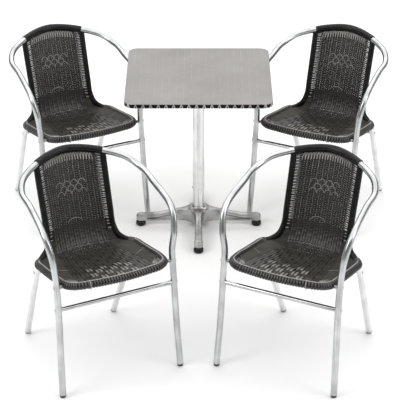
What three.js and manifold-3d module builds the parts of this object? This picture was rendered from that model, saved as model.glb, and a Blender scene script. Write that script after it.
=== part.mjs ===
// Patio dining set: a square pedestal table and four armchairs with a bent
// tube frame and one continuous woven seat and back. Millimetres, +Z up,
// the set stands on z = 0 and the middle of its footprint is the origin.
import * as THREE from 'three';
import Module from 'manifold-3d';
import { mergeVertices } from 'three/addons/utils/BufferGeometryUtils.js';
import { ParametricGeometry } from 'three/addons/geometries/ParametricGeometry.js';

const wasm = await Module();
wasm.setup();

// ---------------------------------------------------------------- sizes
const GAP = 0.3;
const MERGE_TOLERANCE = 1e-4;

// Table
const TOP_SIDE = 600;
const TOP_HEIGHT = 700;
const TOP_THICKNESS = 20;
const TOP_CORNER_RADIUS = 40;
const SKIN_THICKNESS = 1.5;
const COLUMN_RADIUS = 25;
const COLUMN_WALL = 1.5;
const BRACKET_SIDE = 220;
const BRACKET_THICKNESS = 5;
const BRACKET_PLUG_LENGTH = 30;
const TIE_ROD_RADIUS = 5;
const TIE_NUT_RADIUS = 9.8;
const TIE_NUT_HEIGHT = 8;
const BASE_BOTTOM = 26;
const HUB_HEIGHT = 98;
const HUB_RADIUS = 33;
const SOCKET_DEPTH = 12;
const ARM_REACH = 250;
const ARM_HALF_WIDTH_HUB = 13;
const ARM_HALF_WIDTH_TIP = 16.5;
const ARM_HEIGHT_HUB = 92;
const ARM_HEIGHT_TIP = 50;
const ARM_WEB_HALF = 10.5;
const FILLET_RADIUS = 65;
const TIP_BOSS_RADIUS = 18.5;
const FOOT_RADIUS = 21.5;
const STUD_RADIUS = 4;
const STUD_TOP = 45;

// Chair tubes
const HOOP_RADIUS = 12.25;
const FRAME_RADIUS = 12.5;
const SLEEVE_RADIUS = 15;
const SLEEVE_HALF_SPAN = 136;
const REAR_LEG_RADIUS = 12;
const RAIL_RADIUS = 8;
const FRONT_RAIL_HEIGHT = 347;
const REAR_RAIL_HEIGHT = 355;
const TUBE_SIDES = 8;
const GLIDE_RADIUS = 12;
const TUBE_END_HEIGHT = 10;
const WEAVE_THICKNESS = 8;

// One bent tube: front foot, leg, arm bend, arm and half of the back rail.
const HOOP_POINTS = [
  [239, -197, 0],
  [233.5, -178, 182],
  [230, -163.5, 366],
  [230.5, -151, 476],
  [240, -150, 548],
  [250, -112, 622],
  [243, 31, 671],
  [237, 130, 690],
  [193, 197, 718],
  [0, 286, 747],
];
const HOOP_STEPS = [1, 1, 2, 3, 3, 2, 3, 2, 4];

// Cross sections of the seat and back, from the front edge to the top:
// half width, then the edge rod's (y, z) and the middle line's (y, z).
const SECTIONS = [
  { half: 165, edge: [-182, 436], middle: [-200, 436] },
  { half: 194, edge: [-158, 436], middle: [-168, 434] },
  { half: 202, edge: [-105, 431], middle: [-108, 427] },
  { half: 203, edge: [-30, 417], middle: [-34, 412] },
  { half: 202, edge: [45, 405], middle: [42, 401] },
  { half: 198, edge: [98, 398], middle: [98, 397] },
  { half: 170, edge: [127, 402], middle: [140, 402] },
  { half: 144, edge: [140, 424], middle: [165, 424] },
  { half: 133, edge: [160, 460], middle: [184, 460] },
  { half: 132, edge: [177, 520], middle: [205, 522] },
  { half: 133, edge: [210, 628], middle: [246, 632] },
  { half: 134, edge: [239, 730], middle: [286, 747] },
];
const REAR_FOOT = [182, 286];
const FRONT_RIM_FRACTIONS = [0.66, 0.33];

// Where things stand, relative to the middle of the table.
const CHAIR_YAW = THREE.MathUtils.degToRad(27);
const BACK_CHAIR = { x: 524, y: 164 };
const FRONT_CHAIR = { x: 370, y: -1076 };

// ------------------------------------------------------------ materials
const finishes = {
  brushed: { color: 0x9c9892, roughness: 0.35, metalness: 0.9 },
  polished: { color: 0xc9cacc, roughness: 0.25, metalness: 0.95 },
  cast: { color: 0xa9abad, roughness: 0.45, metalness: 0.85 },
  steel: { color: 0x8d9093, roughness: 0.4, metalness: 0.9 },
  board: { color: 0x6b5138, roughness: 0.8, metalness: 0 },
  weave: { color: 0x2b2a28, roughness: 0.55, metalness: 0 },
  sleeve: { color: 0x232322, roughness: 0.4, metalness: 0 },
  foot: { color: 0x101010, roughness: 0.35, metalness: 0 },
  glide: { color: 0x8f9092, roughness: 0.5, metalness: 0 },
};
const materials = {};
for (const [name, settings] of Object.entries(finishes)) {
  materials[name] = new THREE.MeshStandardMaterial(settings);
}

// -------------------------------------------------------------- helpers
const vector = (values) => new THREE.Vector3(...values);
const mirrored = (points) => points.map(([x, y, z]) => [-x, y, z]);

/** Turns a closed geometry into a solid that can be joined and cut. */
function solid(geometry) {
  const bare = geometry.clone();
  bare.deleteAttribute('normal');
  bare.deleteAttribute('uv');
  const merged = mergeVertices(bare, MERGE_TOLERANCE);
  const corners = merged.index.array;
  const triangles = [];
  for (let i = 0; i < corners.length; i += 3) {
    const [a, b, c] = corners.slice(i, i + 3);
    if (a !== b && b !== c && c !== a) {
      triangles.push(a, b, c);
    }
  }
  return new wasm.Manifold(new wasm.Mesh({
    numProp: 3,
    vertProperties: new Float32Array(merged.attributes.position.array),
    triVerts: new Uint32Array(triangles),
  }));
}

/** Turns a solid's largest body back into a geometry, without the crumbs that a cut leaves. */
function geometryOf(body) {
  const [largest] = body.decompose().sort((a, b) => b.volume() - a.volume());
  const mesh = largest.getMesh();
  const geometry = new THREE.BufferGeometry();
  geometry.setAttribute('position', new THREE.BufferAttribute(mesh.vertProperties, 3));
  geometry.setIndex(new THREE.BufferAttribute(mesh.triVerts, 1));
  geometry.computeVertexNormals();
  return geometry;
}

/** A smooth curve whose steps follow its points, so bends get more of them. */
class BentCurve extends THREE.CatmullRomCurve3 {
  constructor(points, stepsPerSpan) {
    super(points.map(vector));
    const spans = points.length - 1;
    this.stations = [];
    stepsPerSpan.forEach((steps, span) => {
      for (let i = 0; i < steps; i += 1) {
        this.stations.push((span + i / steps) / spans);
      }
    });
    this.stations.push(1);
  }

  get steps() {
    return this.stations.length - 1;
  }

  stationAt(u) {
    const place = u * this.steps;
    const before = Math.floor(place);
    const after = Math.ceil(place);
    return THREE.MathUtils.lerp(this.stations[before], this.stations[after], place - before);
  }

  getPointAt(u, target) {
    return this.getPoint(this.stationAt(u), target);
  }

  getTangentAt(u, target) {
    return this.getTangent(this.stationAt(u), target);
  }
}

/** A round bar along a curve. */
function tube(curve, radius, sides = TUBE_SIDES) {
  const section = new THREE.Shape();
  for (let i = 0; i < sides; i += 1) {
    const angle = (2 * Math.PI * i) / sides;
    const point = [radius * Math.cos(angle), radius * Math.sin(angle)];
    if (i === 0) {
      section.moveTo(...point);
    } else {
      section.lineTo(...point);
    }
  }
  section.closePath();
  return solid(new THREE.ExtrudeGeometry(section, {
    steps: curve.steps,
    extrudePath: curve,
    bevelEnabled: false,
  }));
}

/** A straight round bar between two points. */
function bar(from, to, radius, sides = TUBE_SIDES) {
  return tube(new BentCurve([from, to], [1]), radius, sides);
}

/** A turned piece about +Z from (radius, z) points that start and end on the axis. */
function turned(profile, segments = 16) {
  const points = profile.map(([radius, z]) => new THREE.Vector2(radius, z));
  const lathe = new THREE.LatheGeometry(points, segments);
  lathe.rotateX(Math.PI / 2);
  return solid(lathe);
}

/** A plain upright cylinder from one height to another. */
function disc(radius, bottom, top, segments = 16) {
  return turned([[0, bottom], [radius, bottom], [radius, top], [0, top]], segments);
}

/** A square plate with rounded corners, lying flat. */
function plate(side, corner, bottom, top, curveSegments = 6) {
  const reach = side / 2;
  const shape = new THREE.Shape();
  shape.moveTo(reach, -reach + corner);
  shape.absarc(reach - corner, reach - corner, corner, 0, Math.PI / 2);
  shape.absarc(-reach + corner, reach - corner, corner, Math.PI / 2, Math.PI);
  shape.absarc(-reach + corner, -reach + corner, corner, Math.PI, 1.5 * Math.PI);
  shape.absarc(reach - corner, -reach + corner, corner, 1.5 * Math.PI, 2 * Math.PI);
  const geometry = new THREE.ExtrudeGeometry(shape, {
    depth: top - bottom,
    bevelEnabled: false,
    curveSegments,
  });
  geometry.translate(0, 0, bottom);
  return solid(geometry);
}

/** A named mesh made from a solid. */
function piece(name, body, material) {
  const mesh = new THREE.Mesh(geometryOf(body), material);
  mesh.name = name;
  return mesh;
}

// ---------------------------------------------------------------- table
/** The outline of the four-armed base, seen from above. */
function starOutline() {
  const shape = new THREE.Shape();
  const centre = ARM_HALF_WIDTH_HUB + FILLET_RADIUS;
  const tips = [];
  for (let quarter = 0; quarter < 4; quarter += 1) {
    const turn = (quarter * Math.PI) / 2;
    const place = (x, y) => [
      x * Math.cos(turn) - y * Math.sin(turn),
      x * Math.sin(turn) + y * Math.cos(turn),
    ];
    tips.push(place(ARM_REACH, -ARM_HALF_WIDTH_TIP), place(ARM_REACH, ARM_HALF_WIDTH_TIP));
    for (let i = 0; i <= 4; i += 1) {
      const angle = -Math.PI / 2 - (Math.PI / 2) * (i / 4);
      tips.push(place(centre + FILLET_RADIUS * Math.cos(angle), centre + FILLET_RADIUS * Math.sin(angle)));
    }
  }
  shape.setFromPoints(tips.map(([x, y]) => new THREE.Vector2(x, y)));
  return shape;
}

/** The side view of two opposite arms, pushed through the whole base. */
function roof() {
  const shape = new THREE.Shape();
  shape.moveTo(-ARM_REACH - FILLET_RADIUS, 0);
  shape.lineTo(ARM_REACH + FILLET_RADIUS, 0);
  shape.lineTo(ARM_REACH + FILLET_RADIUS, ARM_HEIGHT_TIP);
  shape.lineTo(ARM_REACH - FILLET_RADIUS, ARM_HEIGHT_TIP + 6);
  shape.lineTo(HUB_RADIUS + 12, ARM_HEIGHT_HUB - 6);
  shape.lineTo(HUB_RADIUS, ARM_HEIGHT_HUB);
  shape.lineTo(-HUB_RADIUS, ARM_HEIGHT_HUB);
  shape.lineTo(-HUB_RADIUS - 12, ARM_HEIGHT_HUB - 6);
  shape.lineTo(-ARM_REACH + FILLET_RADIUS, ARM_HEIGHT_TIP + 6);
  shape.lineTo(-ARM_REACH - FILLET_RADIUS, ARM_HEIGHT_TIP);
  const span = 2 * (ARM_REACH + FILLET_RADIUS);
  const geometry = new THREE.ExtrudeGeometry(shape, { depth: span, bevelEnabled: false });
  geometry.translate(0, 0, -span / 2);
  geometry.rotateX(Math.PI / 2);
  return geometry;
}

/** A shallow pocket along one side of one arm. */
function armPocket(side) {
  const shape = new THREE.Shape();
  shape.moveTo(92, BASE_BOTTOM + 7);
  shape.lineTo(ARM_REACH - 26, BASE_BOTTOM + 7);
  shape.lineTo(ARM_REACH - 26, ARM_HEIGHT_TIP - 6);
  shape.lineTo(ARM_REACH - FILLET_RADIUS, ARM_HEIGHT_TIP - 3);
  shape.lineTo(92, ARM_HEIGHT_HUB - 25);
  const geometry = new THREE.ExtrudeGeometry(shape, { depth: 20, bevelEnabled: false });
  geometry.rotateX(Math.PI / 2);
  geometry.translate(0, side > 0 ? ARM_WEB_HALF + 20 : -ARM_WEB_HALF, 0);
  return geometry;
}

function baseCasting() {
  const upright = new THREE.ExtrudeGeometry(starOutline(), {
    depth: HUB_HEIGHT - BASE_BOTTOM,
    bevelEnabled: false,
  });
  upright.translate(0, 0, BASE_BOTTOM);
  const across = roof();
  const along = across.clone().rotateZ(Math.PI / 2);
  let body = solid(upright).intersect(solid(across)).intersect(solid(along));
  body = body.add(disc(HUB_RADIUS, BASE_BOTTOM, HUB_HEIGHT, 24));
  for (let quarter = 0; quarter < 4; quarter += 1) {
    const turn = (quarter * Math.PI) / 2;
    const tip = turned([
      [0, BASE_BOTTOM],
      [TIP_BOSS_RADIUS, BASE_BOTTOM],
      [TIP_BOSS_RADIUS, ARM_HEIGHT_TIP - 8],
      [TIP_BOSS_RADIUS - 4, ARM_HEIGHT_TIP - 2],
      [0, ARM_HEIGHT_TIP],
    ]);
    const hole = disc(STUD_RADIUS + GAP, 0, STUD_TOP + 2, 12);
    const reach = [ARM_REACH * Math.cos(turn), ARM_REACH * Math.sin(turn), 0];
    body = body.add(tip.translate(reach)).subtract(hole.translate(reach));
    for (const side of [-1, 1]) {
      body = body.subtract(solid(armPocket(side).rotateZ(turn)));
    }
  }
  return body
    .subtract(disc(COLUMN_RADIUS + GAP, HUB_HEIGHT - SOCKET_DEPTH, HUB_HEIGHT + 10, 24))
    .subtract(disc(TIE_ROD_RADIUS + 2 * GAP, 0, HUB_HEIGHT, 12))
    .subtract(disc(TIE_NUT_RADIUS + 5, 0, BASE_BOTTOM + TIE_NUT_HEIGHT + 6));
}

/** A rubber foot with the threaded stud that screws into the arm. */
function tableFoot() {
  return turned([
    [0, 0],
    [FOOT_RADIUS - 5, 0],
    [FOOT_RADIUS - 1, 3],
    [FOOT_RADIUS, 9],
    [FOOT_RADIUS - 1, 18],
    [FOOT_RADIUS - 5, BASE_BOTTOM - GAP],
    [STUD_RADIUS, BASE_BOTTOM - GAP],
    [STUD_RADIUS, STUD_TOP],
    [0, STUD_TOP],
  ]);
}

function makeTable() {
  const table = new THREE.Group();
  const underside = TOP_HEIGHT - TOP_THICKNESS;
  const skinBottom = TOP_HEIGHT - SKIN_THICKNESS;
  const coreSide = TOP_SIDE - 2 * (SKIN_THICKNESS + GAP);
  const coreCorner = TOP_CORNER_RADIUS - SKIN_THICKNESS - GAP;
  const bandInner = plate(
    TOP_SIDE - 2 * SKIN_THICKNESS,
    TOP_CORNER_RADIUS - SKIN_THICKNESS,
    underside - 1,
    TOP_HEIGHT,
  );
  const bracketTop = underside - GAP;
  const bracketBottom = bracketTop - BRACKET_THICKNESS;
  const plugRadius = COLUMN_RADIUS - COLUMN_WALL - GAP;
  const rodHole = disc(TIE_ROD_RADIUS + GAP, 0, TOP_HEIGHT, 12);
  const bracket = plate(BRACKET_SIDE, 20, bracketBottom, bracketTop, 3)
    .add(disc(plugRadius, bracketBottom - BRACKET_PLUG_LENGTH, bracketBottom, 24))
    .subtract(rodHole);
  const columnBottom = HUB_HEIGHT - SOCKET_DEPTH + GAP;
  const columnTop = bracketBottom - GAP;
  const column = disc(COLUMN_RADIUS, columnBottom, columnTop, 24)
    .subtract(disc(COLUMN_RADIUS - COLUMN_WALL, 0, TOP_HEIGHT, 24));
  const nutHex = disc(TIE_NUT_RADIUS, BASE_BOTTOM + 4, BASE_BOTTOM + 4 + TIE_NUT_HEIGHT, 6);
  const parts = [
    ['table_top_core', plate(coreSide, coreCorner, underside, skinBottom - GAP), 'board'],
    ['table_top_skin', plate(TOP_SIDE, TOP_CORNER_RADIUS, skinBottom, TOP_HEIGHT), 'brushed'],
    [
      'table_edge_band',
      plate(TOP_SIDE, TOP_CORNER_RADIUS, underside, skinBottom - GAP).subtract(bandInner),
      'brushed',
    ],
    ['table_top_bracket', bracket, 'cast'],
    ['table_column', column, 'polished'],
    ['table_base', baseCasting(), 'cast'],
    ['table_tie_rod', disc(TIE_ROD_RADIUS, BASE_BOTTOM + 2, bracketTop - 2, 12), 'steel'],
    ['table_tie_nut', nutHex.subtract(disc(TIE_ROD_RADIUS + GAP, 0, HUB_HEIGHT, 12)), 'steel'],
  ];
  for (const [name, body, finish] of parts) {
    table.add(piece(name, body, materials[finish]));
  }
  const footPlaces = { right: [1, 0], back: [0, 1], left: [-1, 0], front: [0, -1] };
  for (const [name, [x, y]] of Object.entries(footPlaces)) {
    const foot = piece(`table_foot_${name}`, tableFoot(), materials.foot);
    foot.position.set(x * ARM_REACH, y * ARM_REACH, 0);
    table.add(foot);
  }
  return table;
}

// ---------------------------------------------------------------- chair
/** The whole hoop, left foot to right foot through the back rail. */
function hoopCurve(endHeight) {
  const [foot, knee] = HOOP_POINTS;
  const end = vector(foot).lerp(vector(knee), endHeight / knee[2]).toArray();
  const right = [end, ...HOOP_POINTS.slice(1)];
  const left = mirrored(right.slice(0, -1)).reverse();
  return new BentCurve([...right, ...left], [...HOOP_STEPS, ...[...HOOP_STEPS].reverse()]);
}

/** The parameter at which the right half of the hoop reaches a given x. */
function hoopParameterAt(curve, x) {
  let low = (HOOP_POINTS.length - 2) / (2 * (HOOP_POINTS.length - 1));
  let high = 0.5;
  for (let i = 0; i < 30; i += 1) {
    const middle = (low + high) / 2;
    if (curve.getPoint(middle).x > x) {
      low = middle;
    } else {
      high = middle;
    }
  }
  return low;
}

/** The stretch of the hoop's line that the back sleeve covers. */
function sleeveCurve(hoop) {
  const start = hoopParameterAt(hoop, SLEEVE_HALF_SPAN);
  const count = 6;
  const points = [];
  for (let i = 0; i <= count; i += 1) {
    points.push(hoop.getPoint(THREE.MathUtils.lerp(start, 1 - start, i / count)).toArray());
  }
  return new BentCurve(points, new Array(count).fill(1));
}

/** The rod round the seat and up both sides of the back. */
function frameCurve() {
  const edges = SECTIONS.map(({ half, edge }) => [half, ...edge]);
  const [front] = SECTIONS;
  const rim = FRONT_RIM_FRACTIONS.map((fraction) => [
    front.half * fraction,
    THREE.MathUtils.lerp(front.middle[0], front.edge[0], fraction ** 2),
    front.edge[1],
  ]);
  const right = [...edges.reverse(), ...rim];
  const centre = [0, ...front.middle];
  const points = [...right, centre, ...mirrored(right).reverse()];
  const steps = new Array(points.length - 1).fill(1);
  return new BentCurve(points, steps);
}

/** The woven sheet between the rods, before its rim is cut to them. */
function wovenSheet() {
  const across = 4;
  const along = SECTIONS.length - 1;
  const ringSteps = 2 * across + 2;
  const edgeLine = new THREE.CatmullRomCurve3(SECTIONS.map((s) => vector([s.half, ...s.edge])));
  const middleLine = new THREE.CatmullRomCurve3(SECTIONS.map((s) => vector([0, ...s.middle])));
  const place = (ring, row, target) => {
    const capped = row < 0 || row > along;
    const t = THREE.MathUtils.clamp(row, 0, along) / along;
    const onTop = ring <= across || ring === ringSteps;
    const column = onTop ? ring % ringSteps : ringSteps - 1 - ring;
    const u = (2 * column) / across - 1;
    const edge = edgeLine.getPoint(t);
    const middle = middleLine.getPoint(t);
    const slope = edgeLine.getTangent(t);
    const length = Math.hypot(slope.y, slope.z);
    let lift = onTop ? WEAVE_THICKNESS : 0;
    if (capped) {
      lift = WEAVE_THICKNESS / 2;
    }
    target.set(
      u * edge.x,
      THREE.MathUtils.lerp(middle.y, edge.y, u * u) - (lift * slope.z) / length,
      THREE.MathUtils.lerp(middle.z, edge.z, u * u) + (lift * slope.y) / length,
    );
  };
  const sheet = new ParametricGeometry(
    (u, v, target) => place(Math.round(u * ringSteps), Math.round(v * (along + 2)) - 1, target),
    ringSteps,
    along + 2,
  );
  return solid(sheet);
}

/** A domed plastic glide under the end of a leg, worn flat on the floor. */
function glide(foot, towards, tubeEnd) {
  const cup = turned([
    [0, -6],
    [GLIDE_RADIUS - 5, -6],
    [GLIDE_RADIUS - 2, 1.5],
    [GLIDE_RADIUS - 0.6, 4.5],
    [GLIDE_RADIUS, 8],
    [GLIDE_RADIUS, TUBE_END_HEIGHT + 3],
    [0, TUBE_END_HEIGHT + 3],
  ], 12);
  const lean = vector(towards).sub(vector(foot)).normalize();
  const turn = new THREE.Quaternion().setFromUnitVectors(new THREE.Vector3(0, 0, 1), lean);
  const matrix = new THREE.Matrix4().compose(vector(foot), turn, new THREE.Vector3(1, 1, 1));
  const floor = new THREE.BoxGeometry(100, 100, 50).translate(foot[0], foot[1], -25);
  return cup.transform(matrix.elements).subtract(tubeEnd).subtract(solid(floor));
}

/** All pieces of one chair, in its own frame: it faces -Y and stands on z = 0. */
function chairPieces() {
  const hoop = hoopCurve(TUBE_END_HEIGHT);
  const hoopCutter = tube(hoopCurve(TUBE_END_HEIGHT - GAP), HOOP_RADIUS + 1.2 * GAP);
  const sleeve = sleeveCurve(hoop);
  const sleeveCutter = tube(sleeve, SLEEVE_RADIUS + 1.2 * GAP);
  const frame = frameCurve();
  const frameCutter = tube(frame, FRAME_RADIUS + 1.2 * GAP);

  const cornerSection = SECTIONS[5];
  const rearTop = [cornerSection.half, ...cornerSection.edge];
  const rearFoot = [...REAR_FOOT, 0];
  const onRearLeg = (height) => vector(rearFoot).lerp(vector(rearTop), height / rearTop[2]).toArray();
  const rearLegCutter = bar(onRearLeg(TUBE_END_HEIGHT - GAP), rearTop, REAR_LEG_RADIUS + 1.2 * GAP);
  const rearLegTop = onRearLeg(rearTop[2] - FRAME_RADIUS / 2);
  const rearLeg = bar(onRearLeg(TUBE_END_HEIGHT), rearLegTop, REAR_LEG_RADIUS).subtract(frameCutter);

  const [frontFoot, knee, hip] = HOOP_POINTS;
  const railShare = (FRONT_RAIL_HEIGHT - knee[2]) / (hip[2] - knee[2]);
  const frontRailEnd = vector(knee).lerp(vector(hip), railShare).toArray();
  const rearRailEnd = onRearLeg(REAR_RAIL_HEIGHT);
  const mirrorX = (body) => body.mirror([1, 0, 0]);
  const frontGlide = glide(frontFoot, knee, hoopCutter);
  const rearGlide = glide(rearFoot, rearTop, rearLegCutter);

  return {
    hoop_tube: [tube(hoop, HOOP_RADIUS), 'polished'],
    top_sleeve: [tube(sleeve, SLEEVE_RADIUS).subtract(hoopCutter), 'sleeve'],
    seat_frame: [tube(frame, FRAME_RADIUS).subtract(sleeveCutter).subtract(hoopCutter), 'weave'],
    woven_shell: [wovenSheet().subtract(frameCutter).subtract(sleeveCutter), 'weave'],
    front_rail: [bar(mirrored([frontRailEnd])[0], frontRailEnd, RAIL_RADIUS).subtract(hoopCutter), 'polished'],
    rear_rail: [
      bar(mirrored([rearRailEnd])[0], rearRailEnd, RAIL_RADIUS)
        .subtract(rearLegCutter)
        .subtract(mirrorX(rearLegCutter)),
      'polished',
    ],
    rear_leg_right: [rearLeg, 'polished'],
    rear_leg_left: [mirrorX(rearLeg), 'polished'],
    front_glide_right: [frontGlide, 'foot'],
    front_glide_left: [mirrorX(frontGlide), 'foot'],
    rear_glide_right: [rearGlide, 'glide'],
    rear_glide_left: [mirrorX(rearGlide), 'glide'],
  };
}

function makeChair(label, pieces, place) {
  const chair = new THREE.Group();
  for (const [name, { geometry, material }] of Object.entries(pieces)) {
    const mesh = new THREE.Mesh(geometry, material);
    mesh.name = `${label}_${name}`;
    chair.add(mesh);
  }
  chair.position.set(place.x, place.y, 0);
  chair.rotation.z = place.yaw;
  return chair;
}

// ------------------------------------------------------------- assembly
const set = new THREE.Group();
set.add(makeTable());
const shared = {};
for (const [name, [body, finish]] of Object.entries(chairPieces())) {
  shared[name] = { geometry: geometryOf(body), material: materials[finish] };
}
const places = {
  chair_back_left: { x: -BACK_CHAIR.x, y: BACK_CHAIR.y, yaw: CHAIR_YAW },
  chair_back_right: { x: BACK_CHAIR.x, y: BACK_CHAIR.y, yaw: -CHAIR_YAW },
  chair_front_left: { x: -FRONT_CHAIR.x, y: FRONT_CHAIR.y, yaw: CHAIR_YAW },
  chair_front_right: { x: FRONT_CHAIR.x, y: FRONT_CHAIR.y, yaw: -CHAIR_YAW },
};
for (const [label, place] of Object.entries(places)) {
  set.add(makeChair(label, shared, place));
}

// The footprint's middle becomes the origin.
const footprint = new THREE.Box3().setFromObject(set, true).getCenter(new THREE.Vector3());
set.position.set(-footprint.x, -footprint.y, 0);

export default set;
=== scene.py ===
"""Looks of a patio dining set: a square pedestal table and four woven armchairs.

Every length is in metres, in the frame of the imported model: +Z is up, the set stands on z = 0.
A chair is built once in its own frame, where it faces -Y, and is then copied to its four places.
"""

from __future__ import annotations

import logging
import math
from dataclasses import asdict, dataclass, field
from enum import Enum

import bmesh
import bpy
import numpy as np
from mathutils import Matrix, Vector


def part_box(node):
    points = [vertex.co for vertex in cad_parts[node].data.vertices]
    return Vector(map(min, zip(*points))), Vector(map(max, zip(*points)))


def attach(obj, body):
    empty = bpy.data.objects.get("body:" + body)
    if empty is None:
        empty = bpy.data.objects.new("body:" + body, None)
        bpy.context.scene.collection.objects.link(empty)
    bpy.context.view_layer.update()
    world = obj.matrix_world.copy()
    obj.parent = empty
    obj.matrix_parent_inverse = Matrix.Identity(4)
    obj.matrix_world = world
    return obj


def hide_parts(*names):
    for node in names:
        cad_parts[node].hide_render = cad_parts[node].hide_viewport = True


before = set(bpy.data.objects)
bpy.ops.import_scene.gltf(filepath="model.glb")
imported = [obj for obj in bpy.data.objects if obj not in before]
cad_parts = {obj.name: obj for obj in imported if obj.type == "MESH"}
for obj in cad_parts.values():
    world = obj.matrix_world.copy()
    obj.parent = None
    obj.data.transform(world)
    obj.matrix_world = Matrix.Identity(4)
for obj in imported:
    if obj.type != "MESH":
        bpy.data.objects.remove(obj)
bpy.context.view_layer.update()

LOG = logging.getLogger("patio_set")
UV_NAME = "UVMap"
OUTWARD = "outward"
SEAT_SHARE = "seat_share"
SPREAD = "spread"
SMOOTH_ANGLE = math.radians(38)
SAME_PLACE = 1e-6

Colour = tuple[float, float, float]
Triple = tuple[float, float, float]
Range = tuple[float, float]


class Slot(Enum):
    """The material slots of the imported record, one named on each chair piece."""

    TOP_SHEET = "top_sheet"
    EDGE_SHEET = "edge_sheet"
    COLUMN_TUBE = "column_tube"
    CAST_BASE = "cast_base"
    STEEL_FIXINGS = "steel_fixings"
    RUBBER_FOOT = "rubber_foot"
    CHAIR_TUBE = "chair_tube"
    RAIL_SLEEVE = "rail_sleeve"
    WRAPPED_RIM = "wrapped_rim"
    RATTAN_WEAVE = "rattan_weave"
    DARK_GLIDE = "dark_glide"
    GREY_GLIDE = "grey_glide"


# ------------------------------------------------------------------ lines and meshes
def smooth_line(points: np.ndarray, steps: int) -> np.ndarray:
    """Runs a centripetal Catmull-Rom line through points.

    Args:
        points: Control points, one row each.
        steps: Pieces between one control point and the next.

    Returns:
        The points of the line, one row each.
    """
    ends = np.vstack([2 * points[0] - points[1], points, 2 * points[-1] - points[-2]])
    t = np.linspace(0, 1, steps, endpoint=False)[:, None]
    spans = []
    for i in range(len(points) - 1):
        p0, p1, p2, p3 = ends[i : i + 4]
        d0, d1, d2 = (math.sqrt(np.linalg.norm(b - a)) for a, b in ((p0, p1), (p1, p2), (p2, p3)))
        m1 = ((p1 - p0) / d0 - (p2 - p0) / (d0 + d1) + (p2 - p1) / d1) * d1
        m2 = ((p2 - p1) / d1 - (p3 - p1) / (d1 + d2) + (p3 - p2) / d2) * d1
        start = (2 * t**3 - 3 * t**2 + 1) * p1 + (t**3 - 2 * t**2 + t) * m1
        spans.append(start + (3 * t**2 - 2 * t**3) * p2 + (t**3 - t**2) * m2)
    return np.vstack([*spans, points[-1:]])


def lengths_along(line: np.ndarray) -> np.ndarray:
    """Gives the distance from the start of a line to each of its points."""
    steps = np.linalg.norm(np.diff(line, axis=0), axis=1)
    return np.concatenate([[0.0], np.cumsum(steps)])


def unit(vectors: np.ndarray) -> np.ndarray:
    """Scales each row to length one."""
    return vectors / np.linalg.norm(vectors, axis=-1, keepdims=True)


def smooth_step(value: np.ndarray) -> np.ndarray:
    """Eases from 0 to 1 as value goes from 0 to 1."""
    held = np.clip(value, 0, 1)
    return held * held * (3 - 2 * held)


def frames_along(line: np.ndarray, first_normal: Vector) -> tuple[np.ndarray, np.ndarray]:
    """Carries a normal along a line without twist.

    Args:
        line: Points of the line.
        first_normal: A direction that is not along the line's start.

    Returns:
        The normals and the binormals at each point.
    """
    tangents = unit(np.gradient(line, axis=0))
    normal = np.array(first_normal, float)
    normals = []
    for tangent in tangents:
        normal = normal - tangent * (normal @ tangent)
        normal = normal / np.linalg.norm(normal)
        normals.append(normal)
    normals = np.array(normals)
    return normals, np.cross(tangents, normals)


def rings_round(angles: np.ndarray, normals: np.ndarray, binormals: np.ndarray) -> np.ndarray:
    """Gives the unit circle round each point of a line: points by angles by three."""
    turns = angles[None, :, None]
    return np.cos(turns) * normals[:, None] + np.sin(turns) * binormals[:, None]


def finished(mesh: bpy.types.Mesh) -> bpy.types.Mesh:
    """Shades a mesh smooth with crisp edges, and turns a closed one right side out.

    Args:
        mesh: The mesh.

    Returns:
        The same mesh.
    """
    mesh.validate()
    mesh.calc_loop_triangles()
    corners = np.empty(len(mesh.loop_triangles) * 3, np.int32)
    mesh.loop_triangles.foreach_get("vertices", corners)
    places = np.empty(len(mesh.vertices) * 3)
    mesh.vertices.foreach_get("co", places)
    a, b, c = places.reshape(-1, 3)[corners.reshape(-1, 3)].transpose(1, 0, 2)
    if np.einsum("ij,ij->i", a, np.cross(b, c)).sum() < 0:
        mesh.flip_normals()
    mesh.shade_smooth()
    mesh.set_sharp_from_angle(angle=SMOOTH_ANGLE)
    return mesh


def grid_mesh(name: str, grid: np.ndarray, uv: np.ndarray, wrap: bool, caps: bool) -> bpy.types.Mesh:
    """Makes a mesh from rows of points.

    Args:
        name: Name of the mesh.
        grid: Points, rows by columns by three.
        uv: UV of each point, with one more column than the grid where it wraps.
        wrap: Whether the last column joins the first.
        caps: Whether the first and last rows are filled.

    Returns:
        The mesh, with its UV map.
    """
    rows, columns = grid.shape[:2]
    i, j = np.meshgrid(np.arange(rows - 1), np.arange(columns - (not wrap)), indexing="ij")
    i, j = i.ravel(), j.ravel()
    k = (j + 1) % columns
    corners = [i * columns + j, i * columns + k, (i + 1) * columns + k, (i + 1) * columns + j]
    quads = np.stack(corners, 1)
    uvs = np.stack([uv[i, j], uv[i, j + 1], uv[i + 1, j + 1], uv[i + 1, j]], 1)
    faces = quads.tolist()
    if caps:
        faces.append(list(range(columns))[::-1])
        faces.append(list(range((rows - 1) * columns, rows * columns)))
    mesh = bpy.data.meshes.new(name)
    mesh.from_pydata(grid.reshape(-1, 3).tolist(), [], faces)
    layer = mesh.uv_layers.new(name=UV_NAME)
    flat = np.zeros((len(mesh.loops), 2))
    flat[: len(quads) * 4] = uvs.reshape(-1, 2)
    layer.data.foreach_set("uv", flat.ravel())
    return mesh


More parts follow.
